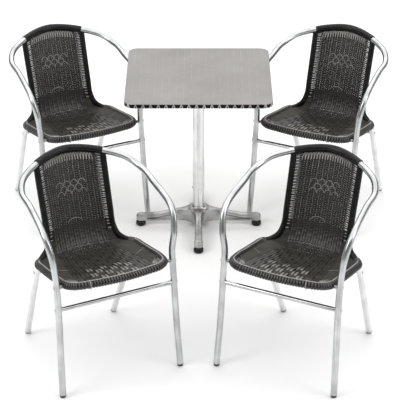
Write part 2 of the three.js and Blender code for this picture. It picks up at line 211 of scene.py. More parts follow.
def tube_mesh(name: str, line: np.ndarray, radii: np.ndarray | float, sides: int = 28) -> bpy.types.Mesh:
    """Sweeps a circle along a line.

    Args:
        name: Name of the mesh.
        line: Points of the centre line.
        radii: One radius, or one for each point.
        sides: Sides of the circle.

    Returns:
        A closed mesh whose UV map runs round the tube and along it.
    """
    normals, binormals = frames_along(line, Vector((0.2, 0.3, 1.0)))
    angles = np.linspace(0, 2 * math.pi, sides, endpoint=False)
    radii = np.broadcast_to(radii, len(line))[:, None, None]
    grid = line[:, None] + rings_round(angles, normals, binormals) * radii
    around, along = np.meshgrid(np.linspace(0, 1, sides + 1), lengths_along(line))
    return finished(grid_mesh(name, grid, np.stack([around, along], -1), wrap=True, caps=True))


def turned_mesh(name: str, profile: list[tuple[float, float]], sides: int = 40) -> bpy.types.Mesh:
    """Turns a profile of (radius, height) points about +Z and closes both ends.

    Args:
        name: Name of the mesh.
        profile: The profile, from one end to the other.
        sides: Sides of the circle.

    Returns:
        A closed mesh with its UV map.
    """
    line = np.array(profile)
    angles = np.linspace(0, 2 * math.pi, sides, endpoint=False)
    ring = np.stack([np.cos(angles), np.sin(angles)], -1)
    grid = np.empty((len(line), sides, 3))
    grid[..., :2] = ring[None] * line[:, None, :1]
    grid[..., 2] = line[:, 1:]
    around, along = np.meshgrid(np.linspace(0, 1, sides + 1), lengths_along(line))
    return finished(grid_mesh(name, grid, np.stack([around, along], -1), wrap=True, caps=True))


def joined(name: str, meshes: list[bpy.types.Mesh]) -> bpy.types.Mesh:
    """Joins several meshes into one and removes them.

    Args:
        name: Name of the new mesh.
        meshes: The meshes to join, each with a UV map.

    Returns:
        One mesh that holds them all.
    """
    places, faces, uvs, offset = [], [], [], 0
    for mesh in meshes:
        places += [v.co.copy() for v in mesh.vertices]
        faces += [[offset + i for i in p.vertices] for p in mesh.polygons]
        uvs += [tuple(corner.uv) for corner in mesh.uv_layers[UV_NAME].data]
        offset += len(mesh.vertices)
        bpy.data.meshes.remove(mesh)
    whole = bpy.data.meshes.new(name)
    whole.from_pydata(places, [], faces)
    layer = whole.uv_layers.new(name=UV_NAME)
    layer.data.foreach_set("uv", np.array(uvs).ravel())
    return finished(whole)


def closed(mesh: bpy.types.Mesh) -> bpy.types.Mesh:
    """Merges points that meet and fills every hole that is left.

    Args:
        mesh: The mesh.

    Returns:
        The same mesh, without gaps.
    """
    work = bmesh.new()
    work.from_mesh(mesh)
    bmesh.ops.remove_doubles(work, verts=work.verts, dist=SAME_PLACE)
    bmesh.ops.holes_fill(work, edges=[edge for edge in work.edges if edge.is_boundary])
    work.to_mesh(mesh)
    work.free()
    return mesh


def thread_mesh(name: str, lines: list[np.ndarray]) -> bpy.types.Mesh:
    """Makes a mesh of bare edges from polylines, for a tree to sweep.

    Args:
        name: Name of the mesh.
        lines: The polylines, one array of points each.

    Returns:
        The mesh.
    """
    mesh = bpy.data.meshes.new(name)
    edges, offset = [], 0
    for line in lines:
        edges += [(offset + i, offset + i + 1) for i in range(len(line) - 1)]
        offset += len(line)
    mesh.from_pydata(np.vstack(lines).tolist(), edges, [])
    return mesh


# ------------------------------------------------------------------ finishes
class Nodes:
    """A node tree under construction, with short calls for its nodes."""

    group: bpy.types.NodeTree
    prefix: str = ""
    math_kind: str = "ShaderNodeMath"

    def node(self, kind: str, inputs: dict | None = None, **settings: object) -> bpy.types.Node:
        """Adds a node.

        Args:
            kind: The node's type name, after the prefix.
            inputs: Values or sockets for its inputs, by name or number.
            settings: Properties of the node.

        Returns:
            The node.
        """
        made = self.group.nodes.new(self.prefix + kind)
        for key, value in settings.items():
            setattr(made, key, value)
        for key, value in (inputs or {}).items():
            self.feed(made.inputs[key], value)
        return made

    def feed(self, socket: bpy.types.NodeSocket, value: object) -> None:
        """Links a socket to an input, or sets the input's own value.

        Args:
            socket: The input.
            value: A socket, or a plain value.
        """
        if isinstance(value, bpy.types.NodeSocket):
            self.group.links.new(value, socket)
        else:
            socket.default_value = value

    def math(self, operation: str, *values: object) -> bpy.types.NodeSocket:
        """Adds a Math node and returns its result."""
        return self.node(self.math_kind, dict(enumerate(values)), operation=operation).outputs[0]


class Paint(Nodes):
    """A material under construction, with short calls for its nodes."""

    prefix: str = "ShaderNode"
    math_kind: str = "Math"

    def __init__(self, name: str, metallic: float = 0.0, ior: float = 1.5) -> None:
        """Starts a material.

        Args:
            name: Name of the material.
            metallic: Metallic value of the shader.
            ior: Index of refraction of the shader.
        """
        self.material = bpy.data.materials.new(name)
        self.material.use_nodes = True
        self.group = self.material.node_tree
        self.shader = self.group.nodes["Principled BSDF"]
        self.shader.inputs["Metallic"].default_value = metallic
        self.shader.inputs["IOR"].default_value = ior

    def weighed(
        self, first: object, first_share: float, second: object, second_share: float
    ) -> bpy.types.NodeSocket:
        """Adds two values, each times its share."""
        parts = [self.math("MULTIPLY", *pair) for pair in ((first, first_share), (second, second_share))]
        return self.math("ADD", *parts)

    def place(self, scale: Triple = (1, 1, 1), on_uv: bool = False) -> bpy.types.NodeSocket:
        """Gives scaled coordinates, on the UV map or on the object.

        Args:
            scale: Triple along each axis.
            on_uv: Whether the UV map is used.

        Returns:
            The coordinates' socket.
        """
        if on_uv:
            source = self.node("UVMap", uv_map=UV_NAME).outputs["UV"]
        else:
            source = self.node("TexCoord").outputs["Object"]
        return self.node("Mapping", {"Vector": source, "Scale": scale}).outputs["Vector"]

    def noise(self, place: bpy.types.NodeSocket, scale: float, detail: float = 3.0) -> bpy.types.NodeSocket:
        """Adds a noise texture and returns its value."""
        return self.node("TexNoise", {"Vector": place, "Scale": scale, "Detail": detail}).outputs["Fac"]

    def span(self, value: object, source: Range, target: Range = (0.0, 1.0)) -> bpy.types.NodeSocket:
        """Maps a range of values onto another, held at its ends."""
        inputs = {0: value, 1: source[0], 2: source[1], 3: target[0], 4: target[1]}
        return self.node("MapRange", inputs).outputs[0]

    def blend(
        self, share: object, first: object, second: object, way: str = "MIX"
    ) -> bpy.types.NodeSocket:
        """Mixes two colours.

        Args:
            share: Share of the second colour.
            first: The first colour.
            second: The second colour.
            way: Blend type.

        Returns:
            The mixed colour's socket.
        """
        made = self.node("Mix", data_type="RGBA", blend_type=way)
        for socket, value in zip((made.inputs[0], made.inputs[6], made.inputs[7]), (share, first, second)):
            if isinstance(value, tuple):
                value = (*value, 1.0)
            self.feed(socket, value)
        return made.outputs[2]

    def bump(
        self, height: object, strength: float, distance: float, below: object = None
    ) -> bpy.types.NodeSocket:
        """Adds a bump, on top of another where one is given.

        Args:
            height: The height's socket.
            strength: Strength of the bump.
            distance: Its depth in metres.
            below: Normal of the bump underneath.

        Returns:
            The normal's socket.
        """
        inputs = {"Height": height, "Strength": strength, "Distance": distance}
        if below is not None:
            inputs["Normal"] = below
        return self.node("Bump", inputs).outputs["Normal"]

    def done(self, colour: object, roughness: object, normal: object) -> bpy.types.Material:
        """Connects the shader's colour, roughness and normal, and returns the material.

        Args:
            colour: Base colour.
            roughness: Roughness.
            normal: Normal.

        Returns:
            The finished material.
        """
        self.feed(self.shader.inputs["Base Color"], colour)
        self.feed(self.shader.inputs["Roughness"], roughness)
        self.feed(self.shader.inputs["Normal"], normal)
        return self.material


@dataclass(frozen=True)
class DrawnTubeFinish:
    """Satin drawn aluminium with long streaks."""

    name: str
    dark: Colour = (0.36, 0.365, 0.37)
    light: Colour = (0.66, 0.665, 0.67)
    roughness: tuple[float, float] = (0.20, 0.34)
    streaks: float = 46.0

    def material(self) -> bpy.types.Material:
        """Builds the material.

        Returns:
            The material.
        """
        paint = Paint(self.name, metallic=1.0)
        streak = paint.noise(paint.place((self.streaks, 5.0, 1.0), on_uv=True), 1.0, 4.0)
        cloud = paint.noise(paint.place(), 14.0, 2.0)
        fine = paint.noise(paint.place((220.0, 30.0, 1.0), on_uv=True), 1.0, 2.0)
        tone = paint.weighed(streak, 0.55, cloud, 0.45)
        colour = paint.blend(paint.span(tone, (0.36, 0.62)), self.dark, self.light)
        roughness = paint.span(streak, (0.3, 0.7), self.roughness)
        return paint.done(colour, roughness, paint.bump(fine, 0.06, 0.0004))


@dataclass(frozen=True)
class CastFinish:
    """Sand-cast aluminium, polished by a belt and slightly clouded."""

    name: str
    dark: Colour = (0.27, 0.27, 0.27)
    light: Colour = (0.48, 0.48, 0.48)

    def material(self) -> bpy.types.Material:
        """Builds the material.

        Returns:
            The material.
        """
        paint = Paint(self.name, metallic=1.0)
        place = paint.place()
        cloud = paint.noise(place, 22.0, 4.0)
        grain = paint.noise(place, 900.0, 2.0)
        colour = paint.blend(paint.span(cloud, (0.35, 0.65)), self.dark, self.light)
        roughness = paint.span(cloud, (0.3, 0.7), (0.42, 0.30))
        return paint.done(colour, roughness, paint.bump(grain, 0.18, 0.0005))


@dataclass(frozen=True)
class PlatedFinish:
    """Zinc-plated steel with a mottled sheen."""

    name: str
    dark: Colour = (0.38, 0.38, 0.37)
    light: Colour = (0.72, 0.71, 0.69)

    def material(self) -> bpy.types.Material:
        """Builds the material.

        Returns:
            The material.
        """
        paint = Paint(self.name, metallic=1.0)
        place = paint.place()
        mottle = paint.noise(place, 160.0, 3.0)
        scratch = paint.noise(paint.place((900.0, 900.0, 60.0)), 1.0, 2.0)
        colour = paint.blend(paint.span(mottle, (0.36, 0.64)), self.dark, self.light)
        roughness = paint.span(mottle, (0.3, 0.7), (0.22, 0.38))
        return paint.done(colour, roughness, paint.bump(scratch, 0.08, 0.0003))


@dataclass(frozen=True)
class SwirlSheetFinish:
    """Stainless sheet with rows of round polishing marks."""

    name: str
    pitch: float = 0.030
    dark: Colour = (0.27, 0.26, 0.252)
    light: Colour = (0.40, 0.385, 0.375)

    def material(self) -> bpy.types.Material:
        """Builds the material.

        Returns:
            The material.
        """
        paint = Paint(self.name, metallic=1.0)
        place = paint.place((1 / self.pitch,) * 3)
        cell = paint.node("VectorMath", {0: place}, operation="FRACTION").outputs[0]
        middle = paint.node("VectorMath", {0: cell, 1: (0.5, 0.5, 0.5)}, operation="SUBTRACT").outputs[0]
        flat = paint.node("VectorMath", {0: middle, 1: (1.0, 1.0, 0.0)}, operation="MULTIPLY").outputs[0]
        reach = paint.node("VectorMath", {0: flat}, operation="LENGTH").outputs["Value"]
        parts = paint.node("SeparateXYZ", {0: cell})
        uneven = paint.noise(place, 0.6, 2.0)
        turn = paint.weighed(reach, 55.0, uneven, 3.0)
        rings = paint.math("SINE", turn)
        seam = paint.math("ABSOLUTE", paint.math("SUBTRACT", parts.outputs["X"], 0.5))
        line = paint.span(seam, (0.44, 0.5))
        broken = paint.math("MULTIPLY", line, paint.span(uneven, (0.42, 0.62), (0.0, 0.6)))
        cloud = paint.noise(paint.place(), 3.5, 3.0)
        scratch = paint.noise(paint.place((900.0, 40.0, 40.0)), 1.0, 2.0)
        tone = paint.weighed(paint.span(cloud, (0.3, 0.7), (0.15, 0.65)), 1.0, rings, 0.10)
        tone = paint.math("ADD", tone, broken)
        colour = paint.blend(tone, self.dark, self.light)
        roughness = paint.weighed(paint.span(scratch, (0.3, 0.7), (0.42, 0.52)), 1.0, rings, 0.03)
        low = paint.bump(rings, 0.10, 0.0004)
        return paint.done(colour, roughness, paint.bump(scratch, 0.05, 0.0003, below=low))


@dataclass(frozen=True)
class EdgeSheetFinish:
    """Stainless edge strip with painted reflections: dark wedges between light lines stand in for how its
    polishing marks reflect, with painted highlights along both edges.
    """

    name: str
    pitch: float = 0.0307
    height: float = 0.0185
    # The three colours below paint the strip's reflections: dark wedges, grey between them, and light lines
    # and edges.
    dark: Colour = (0.018, 0.018, 0.018)
    grey: Colour = (0.20, 0.195, 0.19)
    bright: Colour = (0.78, 0.77, 0.75)

    def material(self) -> bpy.types.Material:
        """Builds the material: U runs along the strip and V up it, both in metres.

        Returns:
            The material.
        """
        paint = Paint(self.name, metallic=1.0)
        place = paint.place((1 / self.pitch, 1 / self.height, 1.0), on_uv=True)
        spot = paint.node("SeparateXYZ", {0: place})
        zigzag = paint.math("PINGPONG", spot.outputs["X"], 0.5)
        slope = paint.math("MULTIPLY", zigzag, 2.0)
        upright = spot.outputs["Y"]
        lean = paint.weighed(slope, 1.25, upright, 0.62)
        # Painted reflection: the dark wedges and the light lines between them.
        gap = paint.math("SUBTRACT", lean, 0.60)
        inside = paint.span(gap, (0.0, 0.14))
        line = paint.span(paint.math("ABSOLUTE", gap), (0.04, 0.14), (1.0, 0.0))
        # Painted highlight: a light line along each rolled edge.
        edge = paint.math("ABSOLUTE", paint.math("SUBTRACT", upright, 0.5))
        lip = paint.span(edge, (0.39, 0.47))
        wear = paint.noise(paint.place((240.0, 60.0, 1.0), on_uv=True), 1.0, 2.0)
        body = paint.blend(inside, self.grey, self.dark)
        colour = paint.blend(paint.math("MAXIMUM", line, lip), body, self.bright)
        worn = paint.span(wear, (0.3, 0.7), (0.0, 0.35))
        colour = paint.blend(worn, colour, (0.3, 0.3, 0.3), "MULTIPLY")
        roughness = paint.span(wear, (0.3, 0.7), (0.24, 0.40))
        return paint.done(colour, roughness, paint.bump(line, 0.3, 0.0003))


@dataclass(frozen=True)
class StrandFinish:
    """Flat extruded plastic cane with fine ribs along it."""

    name: str
    dark: Colour = (0.004, 0.0038, 0.0034)
    light: Colour = (0.015, 0.014, 0.0125)
    roughness: tuple[float, float] = (0.24, 0.40)
    ribs: float = 14.0
    mirror: float = 0.26
    coat: float = 0.05

    def material(self) -> bpy.types.Material:
        """Builds the material on the strand's own UV map: round the strand and along it.

        Returns:
            The material.
        """
        paint = Paint(self.name, ior=1.52)
        paint.shader.inputs["Specular IOR Level"].default_value = self.mirror
        place = paint.place((self.ribs, 24.0, 1.0), on_uv=True)
        streak = paint.noise(place, 1.0, 3.0)
        cloud = paint.noise(paint.place(), 30.0, 2.0)
        dust = paint.noise(paint.place(), 700.0, 2.0)
        tone = paint.weighed(streak, 0.6, cloud, 0.4)
        colour = paint.blend(paint.span(tone, (0.35, 0.65)), self.dark, self.light)
        roughness = paint.span(streak, (0.3, 0.7), self.roughness)
        low = paint.bump(streak, 0.25, 0.0006)
        paint.shader.inputs["Coat Weight"].default_value = self.coat
        paint.shader.inputs["Coat Roughness"].default_value = 0.25
        return paint.done(colour, roughness, paint.bump(dust, 0.06, 0.0003, below=low))


@dataclass(frozen=True)
class MouldedFinish:
    """Moulded rubber or plastic with a fine pebble and scuffs."""

    name: str
    dark: Colour = (0.006, 0.006, 0.006)
    light: Colour = (0.014, 0.014, 0.014)
    roughness: tuple[float, float] = (0.18, 0.34)
    pebble: float = 1200.0
    strength: float = 0.10
    mirror: float = 0.3

    def material(self) -> bpy.types.Material:
        """Builds the material.

        Returns:
            The material.
        """
        paint = Paint(self.name)
        paint.shader.inputs["Specular IOR Level"].default_value = self.mirror
        place = paint.place()
        cloud = paint.noise(place, 45.0, 3.0)
        cells = paint.node("TexVoronoi", {"Vector": place, "Scale": self.pebble}).outputs["Distance"]
        colour = paint.blend(paint.span(cloud, (0.35, 0.65)), self.dark, self.light)
        roughness = paint.span(cloud, (0.3, 0.7), self.roughness)
        return paint.done(colour, roughness, paint.bump(cells, self.strength, 0.0004))


@dataclass(frozen=True)
class BoardFinish:
    """Pressed wood board, seen from below, with flecks of chip."""

    name: str
    dark: Colour = (0.10, 0.062, 0.034)
    light: Colour = (0.23, 0.15, 0.088)

    def material(self) -> bpy.types.Material:
        """Builds the material.

        Returns:
            The material.
        """
        paint = Paint(self.name)
        place = paint.place((1.0, 0.45, 1.0))
        chips = paint.node("TexVoronoi", {"Vector": place, "Scale": 260.0}).outputs["Color"]
        tone = paint.node("SeparateColor", {0: chips}).outputs[0]
        cloud = paint.noise(place, 12.0, 3.0)
        mixed = paint.weighed(tone, 0.6, cloud, 0.4)
        colour = paint.blend(mixed, self.dark, self.light)
        return paint.done(colour, paint.span(tone, (0.0, 1.0), (0.62, 0.8)), paint.bump(tone, 0.12, 0.0005))


def grey(value: float) -> Colour:
    """Gives an even grey."""
    return (value, value, value)


class Finishes:
    """Every material of the set, built once."""

    def __init__(self) -> None:
        """Builds the materials."""
        rear_leg = DrawnTubeFinish("drawn_rear_leg", dark=grey(0.62), light=grey(0.86))
        column = DrawnTubeFinish("drawn_column", dark=grey(0.66), light=grey(0.9), streaks=30.0)
        self.tube = DrawnTubeFinish("drawn_aluminium").material()
        self.rail = DrawnTubeFinish("drawn_rail", roughness=(0.12, 0.22)).material()
        self.rear_leg = rear_leg.material()
        self.column = column.material()
        self.cast = CastFinish("cast_aluminium").material()
        self.steel = PlatedFinish("plated_steel").material()
        self.top = SwirlSheetFinish("swirl_sheet").material()
        self.edge = EdgeSheetFinish("edge_strip").material()
        self.board = BoardFinish("pressed_board").material()
        self.weave = StrandFinish("cane_weave").material()
        self.strip = StrandFinish(
            "cane_strip", dark=(0.014, 0.013, 0.011), light=(0.046, 0.043, 0.037), mirror=0.4
        ).material()
        self.panel = StrandFinish(
            "cane_panel", (0.024, 0.022, 0.018), (0.052, 0.049, 0.041), (0.5, 0.65), mirror=0.2, coat=0.0
        ).material()
        self.lace = StrandFinish(
            "cane_lace", (0.10, 0.098, 0.092), (0.30, 0.29, 0.275), (0.2, 0.34)
        ).material()
        # Painted highlight: a light cane colour laid on the float tops near the seat's front, and on the
        # corner fans.
        self.bright = StrandFinish(
            "cane_float", dark=(0.08, 0.077, 0.070), light=(0.34, 0.325, 0.30), mirror=0.6
        ).material()
        self.cord = StrandFinish("cane_cord", dark=(0.26, 0.255, 0.24), light=(0.44, 0.43, 0.41)).material()
        self.wrap = StrandFinish(
            "cane_wrap", dark=(0.022, 0.022, 0.020), light=(0.085, 0.082, 0.078), mirror=0.5
        ).material()
        # Near-black cane for the wefts under the strips; its dark also paints the shade seen through the
        # gaps of the weave.
        self.backing = StrandFinish(
            "cane_backing", grey(0.003), (0.007, 0.007, 0.006), (0.6, 0.8), mirror=0.08, coat=0.0
        ).material()
        self.stile = MouldedFinish(
            "wrapped_stile", grey(0.004), grey(0.009), (0.34, 0.46), 500.0, 0.05, mirror=0.2
        ).material()
        self.sleeve = MouldedFinish(
            "sleeve_plastic", grey(0.004), grey(0.009), (0.24, 0.34), 900.0, 0.08, mirror=0.24
        ).material()
        self.rubber = MouldedFinish("foot_rubber", grey(0.002), grey(0.005), mirror=0.35).material()
        self.dark_glide = MouldedFinish(
            "dark_glide", (0.03, 0.03, 0.032), (0.06, 0.06, 0.062), (0.4, 0.6)
        ).material()
        self.grey_glide = MouldedFinish("grey_glide", grey(0.30), grey(0.42), (0.4, 0.6)).material()


# ------------------------------------------------------------------ node trees
class Tree(Nodes):
    """A geometry node tree under construction, with named inputs."""

    def __init__(self, name: str) -> None:
        """Starts an empty tree with a geometry input and output.

        Args:
            name: Name of the tree.
        """
        self.group = bpy.data.node_groups.new(name, "GeometryNodeTree")
        self.group.interface.new_socket("Geometry", in_out="INPUT", socket_type="NodeSocketGeometry")
        self.group.interface.new_socket("Geometry", in_out="OUTPUT", socket_type="NodeSocketGeometry")
        self.source = self.group.nodes.new("NodeGroupInput")
        self.target = self.group.nodes.new("NodeGroupOutput")

    def ask(self, name: str, kind: str) -> bpy.types.NodeSocket:
        """Adds a named input and returns the socket that carries it."""
        self.group.interface.new_socket(name, in_out="INPUT", socket_type="NodeSocket" + kind)
        return self.source.outputs[name]

    def mix(self, share: object, first: object, second: object) -> bpy.types.NodeSocket:
        """Mixes two numbers."""
        return self.node("ShaderNodeMix", {0: share, 2: first, 3: second}, data_type="FLOAT").outputs[0]

    def named(self, name: str, kind: str) -> bpy.types.NodeSocket:
        """Reads a named attribute."""
        made = self.node("GeometryNodeInputNamedAttribute", {"Name": name}, data_type=kind)
        return made.outputs["Attribute"]

    def store(
        self, geometry: object, name: str, value: object, kind: str, domain: str
    ) -> bpy.types.NodeSocket:
        """Stores a value as a named attribute and returns the geometry.

        Args:
            geometry: The geometry.
            name: Name of the attribute.
            value: Its value.
            kind: Its data type.
            domain: The kind of element it is stored on.

        Returns:
            The geometry's socket.
        """
        inputs = {"Geometry": geometry, "Name": name, "Value": value}
        made = self.node("GeometryNodeStoreNamedAttribute", inputs, data_type=kind, domain=domain)
        return made.outputs["Geometry"]

    def finish(self, geometry: object, material: object) -> bpy.types.GeometryNodeTree:
        """Ends the tree in Realize Instances and Set Material.

        Args:
            geometry: The geometry.
            material: Its material.

        Returns:
            The finished tree.
        """
        real = self.node("GeometryNodeRealizeInstances", {0: geometry}).outputs[0]
        painted = self.node("GeometryNodeSetMaterial", {"Geometry": real, "Material": material}).outputs[0]
        self.group.links.new(painted, self.target.inputs[0])
        return self.group


def strand_tree() -> bpy.types.GeometryNodeTree:
    """Builds the tree that repeats threads, lays them on a guide surface and gives them a flat section.

    The modifier's own mesh holds the threads of one repeat. A thread's x is its place across the
    guide, its y is its row along the guide, and its z is its height in waves.

    Returns:
        The tree.
    """
    tree = Tree("strands_on_guide")
    guide, material = tree.ask("Guide", "Object"), tree.ask("Material", "Material")
    count, step = tree.ask("Count", "Int"), tree.ask("Step", "Vector")
    reach, rows = tree.ask("Reach", "Float"), tree.ask("Rows", "Float")
    width, thickness = tree.ask("Width", "Float"), tree.ask("Thickness", "Float")
    lift, segment = tree.ask("Lift", "Float"), tree.ask("Segment", "Float")
    wave_back, wave_seat = tree.ask("Wave Back", "Float"), tree.ask("Wave Seat", "Float")
    widen_seat, widen_spread = tree.ask("Widen Seat", "Float"), tree.ask("Widen Spread", "Float")
    sides = tree.ask("Sides", "Int")

    threads = tree.node("GeometryNodeMeshToCurve", {"Mesh": tree.source.outputs["Geometry"]}).outputs[0]
    starts = tree.node("GeometryNodeMeshLine", {"Count": count, "Offset": step}, mode="OFFSET").outputs[0]
    copies = tree.node("GeometryNodeInstanceOnPoints", {"Points": starts, "Instance": threads}).outputs[0]
    threads = tree.node("GeometryNodeRealizeInstances", {0: copies}).outputs[0]

    spot = tree.node("ShaderNodeSeparateXYZ", {0: tree.node("GeometryNodeInputPosition").outputs[0]})
    from_left = tree.math("ADD", spot.outputs["X"], reach)
    across = tree.math("DIVIDE", from_left, tree.math("MULTIPLY", reach, 2.0))
    along = tree.math("DIVIDE", spot.outputs["Y"], rows)
    place = tree.node("ShaderNodeCombineXYZ", {"X": across, "Y": along}).outputs[0]
    surface = tree.node("GeometryNodeObjectInfo", {"Object": guide}).outputs["Geometry"]
    map_of = tree.named(UV_NAME, "FLOAT_VECTOR")

    def sampled(value: object, kind: str) -> bpy.types.NodeSocket:
        """Reads a value of the guide surface at the thread's place.

        Args:
            value: The value to read.
            kind: Its data type.

        Returns:
            The value's socket.
        """
        made = tree.node("GeometryNodeSampleUVSurface", data_type=kind)
        sources = {"Mesh": surface, "Value": value, "Source UV Map": map_of, "Sample UV": place}
        for name, source in sources.items():
            tree.group.links.new(source, made.inputs[name])
        return made.outputs["Value"]

    ground = sampled(tree.node("GeometryNodeInputPosition").outputs[0], "FLOAT_VECTOR")
    outward = sampled(tree.named(OUTWARD, "FLOAT_VECTOR"), "FLOAT_VECTOR")
    share = sampled(tree.named(SEAT_SHARE, "FLOAT"), "FLOAT")
    spread = sampled(tree.named(SPREAD, "FLOAT"), "FLOAT")
    wave = tree.math("MULTIPLY", spot.outputs["Z"], tree.mix(share, wave_back, wave_seat))
    height = tree.math("ADD", lift, wave)
    raised = tree.node("ShaderNodeVectorMath", {0: outward, "Scale": height}, operation="SCALE").outputs[0]
    laid = tree.node("ShaderNodeVectorMath", {0: ground, 1: raised}, operation="ADD").outputs[0]
    wider = tree.math("ADD", 1.0, tree.math("MULTIPLY", widen_seat, share))
    fanned = tree.math("MULTIPLY", widen_spread, tree.math("SUBTRACT", spread, 1.0))
    wider = tree.math("ADD", wider, fanned)
    threads = tree.store(threads, "strand_up", outward, "FLOAT_VECTOR", "POINT")
    threads = tree.store(threads, "strand_scale", wider, "FLOAT", "POINT")
    threads = tree.node("GeometryNodeSetPosition", {"Geometry": threads, "Position": laid}).outputs[0]
    # The values above read the thread's place, so the move comes after they are stored.
    inputs = {"Curve": threads, "Length": segment}
    threads = tree.node("GeometryNodeResampleCurve", inputs, mode="LENGTH").outputs[0]
    up = tree.named("strand_up", "FLOAT_VECTOR")
    inputs = {"Curve": threads, "Normal": up}
    threads = tree.node("GeometryNodeSetCurveNormal", inputs, mode="FREE").outputs[0]
    along_strand = tree.node("GeometryNodeSplineParameter").outputs["Length"]
    threads = tree.store(threads, "strand_along", along_strand, "FLOAT", "POINT")

    section = tree.node("GeometryNodeCurvePrimitiveCircle", {"Resolution": sides, "Radius": 1.0}).outputs[0]
    round_strand = tree.node("GeometryNodeSplineParameter").outputs["Factor"]
    section = tree.store(section, "strand_round", round_strand, "FLOAT", "POINT")
    half = [tree.math("MULTIPLY", size, 0.5) for size in (width, thickness)]
    flat = tree.node("ShaderNodeCombineXYZ", {"X": half[1], "Y": half[0], "Z": 1.0}).outputs[0]
    # A six-sided section is turned by half a side, so that it lies flat.
    angle = tree.math("MULTIPLY", tree.math("COMPARE", sides, 6.0, 0.1), math.pi / 6)
    turn = tree.node("ShaderNodeCombineXYZ", {"Z": angle}).outputs[0]
    section = tree.node("GeometryNodeTransform", {"Geometry": section, "Rotation": turn}).outputs[0]
    section = tree.node("GeometryNodeTransform", {"Geometry": section, "Scale": flat}).outputs[0]
    inputs = {"Curve": threads, "Profile Curve": section, "Fill Caps": True}
    sweep = tree.node("GeometryNodeCurveToMesh", inputs)
    if "Scale" in sweep.inputs:
        tree.group.links.new(tree.named("strand_scale", "FLOAT"), sweep.inputs["Scale"])
    pair = {"X": tree.named("strand_round", "FLOAT"), "Y": tree.named("strand_along", "FLOAT")}
    own_map = tree.node("ShaderNodeCombineXYZ", pair).outputs[0]
    strands = tree.store(sweep.outputs[0], UV_NAME, own_map, "FLOAT2", "CORNER")
    return tree.finish(strands, material)


def stud_tree() -> bpy.types.GeometryNodeTree:
    """Builds the tree that sets a domed screw head with its washer on each point of a mesh.

    Returns:
        The tree.
    """
    tree = Tree("studs_on_points")
    radius, material = tree.ask("Radius", "Float"), tree.ask("Material", "Material")
    inputs = {"Segments": 16, "Rings": 8, "Radius": radius}
    dome = tree.node("GeometryNodeMeshUVSphere", inputs).outputs["Mesh"]
    dome = tree.node("GeometryNodeTransform", {"Geometry": dome, "Scale": (1.0, 1.0, 0.55)}).outputs[0]
    wide, deep = tree.math("MULTIPLY", radius, 1.35), tree.math("MULTIPLY", radius, 0.5)
    inputs = {"Vertices": 20, "Radius": wide, "Depth": deep}
    washer = tree.node("GeometryNodeMeshCylinder", inputs).outputs["Mesh"]
    both = tree.node("GeometryNodeJoinGeometry")
    tree.group.links.new(dome, both.inputs[0])
    tree.group.links.new(washer, both.inputs[0])
    outward = tree.named(OUTWARD, "FLOAT_VECTOR")
    turn = tree.node("FunctionNodeAlignRotationToVector", {"Vector": outward}, axis="Z").outputs[0]
    points = tree.source.outputs["Geometry"]
    inputs = {"Points": points, "Instance": both.outputs[0], "Rotation": turn}
    return tree.finish(tree.node("GeometryNodeInstanceOnPoints", inputs).outputs[0], material)


def grown(
    name: str, seed_mesh: bpy.types.Mesh, tree: bpy.types.GeometryNodeTree, values: dict
) -> bpy.types.Mesh:
    """Runs a tree on a mesh and keeps the result as a plain mesh.

    Args:
        name: Name of the new mesh.
        seed_mesh: The mesh that the tree starts from. It is removed.
        tree: The tree.
        values: The value of each named input.

    Returns:
        The plain mesh.
    """
    holder = bpy.data.objects.new(name + "_seed", seed_mesh)
    bpy.context.scene.collection.objects.link(holder)
    modifier = holder.modifiers.new("grow", "NODES")
    modifier.node_group = tree
    for item in tree.interface.items_tree:
        if item.in_out == "INPUT" and item.name in values:
            modifier[item.identifier] = values[item.name]
    graph = bpy.context.evaluated_depsgraph_get()
    mesh = bpy.data.meshes.new_from_object(holder.evaluated_get(graph), depsgraph=graph)
    mesh.name = name
    for spare in [a.name for a in mesh.attributes if a.name.startswith("strand_")]:
        mesh.attributes.remove(mesh.attributes[spare])
    bpy.data.objects.remove(holder)
    bpy.data.meshes.remove(seed_mesh)
    return finished(mesh)


@dataclass
class Guide:
    """A surface that strands are laid on: x across it from -reach to reach, y along it in rows."""

    name: str
    grid: np.ndarray
    reach: float
    rows: float
    seat_share: np.ndarray
    spread: np.ndarray
    shape: bpy.types.Object = field(init=False)

    def __post_init__(self) -> None:
        """Makes the guide's object with the attributes that the strand tree reads."""
        lines, columns = self.grid.shape[:2]
        across, along = np.meshgrid(np.linspace(0, 1, columns), np.linspace(0, 1, lines))
        uv = np.stack([across, along], -1)
        mesh = grid_mesh(self.name, self.grid, uv, wrap=False, caps=False)
        normals = np.array([v.normal for v in mesh.vertices])
        mesh.attributes.new(OUTWARD, "FLOAT_VECTOR", "POINT").data.foreach_set("vector", normals.ravel())
        for name, values in ((SEAT_SHARE, self.seat_share), (SPREAD, self.spread)):
            every = np.repeat(values, columns)
            mesh.attributes.new(name, "FLOAT", "POINT").data.foreach_set("value", every)
        self.shape = bpy.data.objects.new(self.name, mesh)
        bpy.context.scene.collection.objects.link(self.shape)
        self.shape.hide_render = True

    def remove(self) -> None:
        """Removes the guide's object once nothing more is laid on it."""
        mesh = self.shape.data
        bpy.data.objects.remove(self.shape)
        bpy.data.meshes.remove(mesh)


@dataclass(frozen=True)
class Cane:
    """The section of a strand and how it rides over and under others."""

    width: float
    thickness: float
    lift: float = 0.004
    wave_back: float = 0.0
    wave_seat: float = 0.0
    widen_seat: float = 0.0
    widen_spread: float = 0.0
    segment: float = 0.003
    sides: int = 4


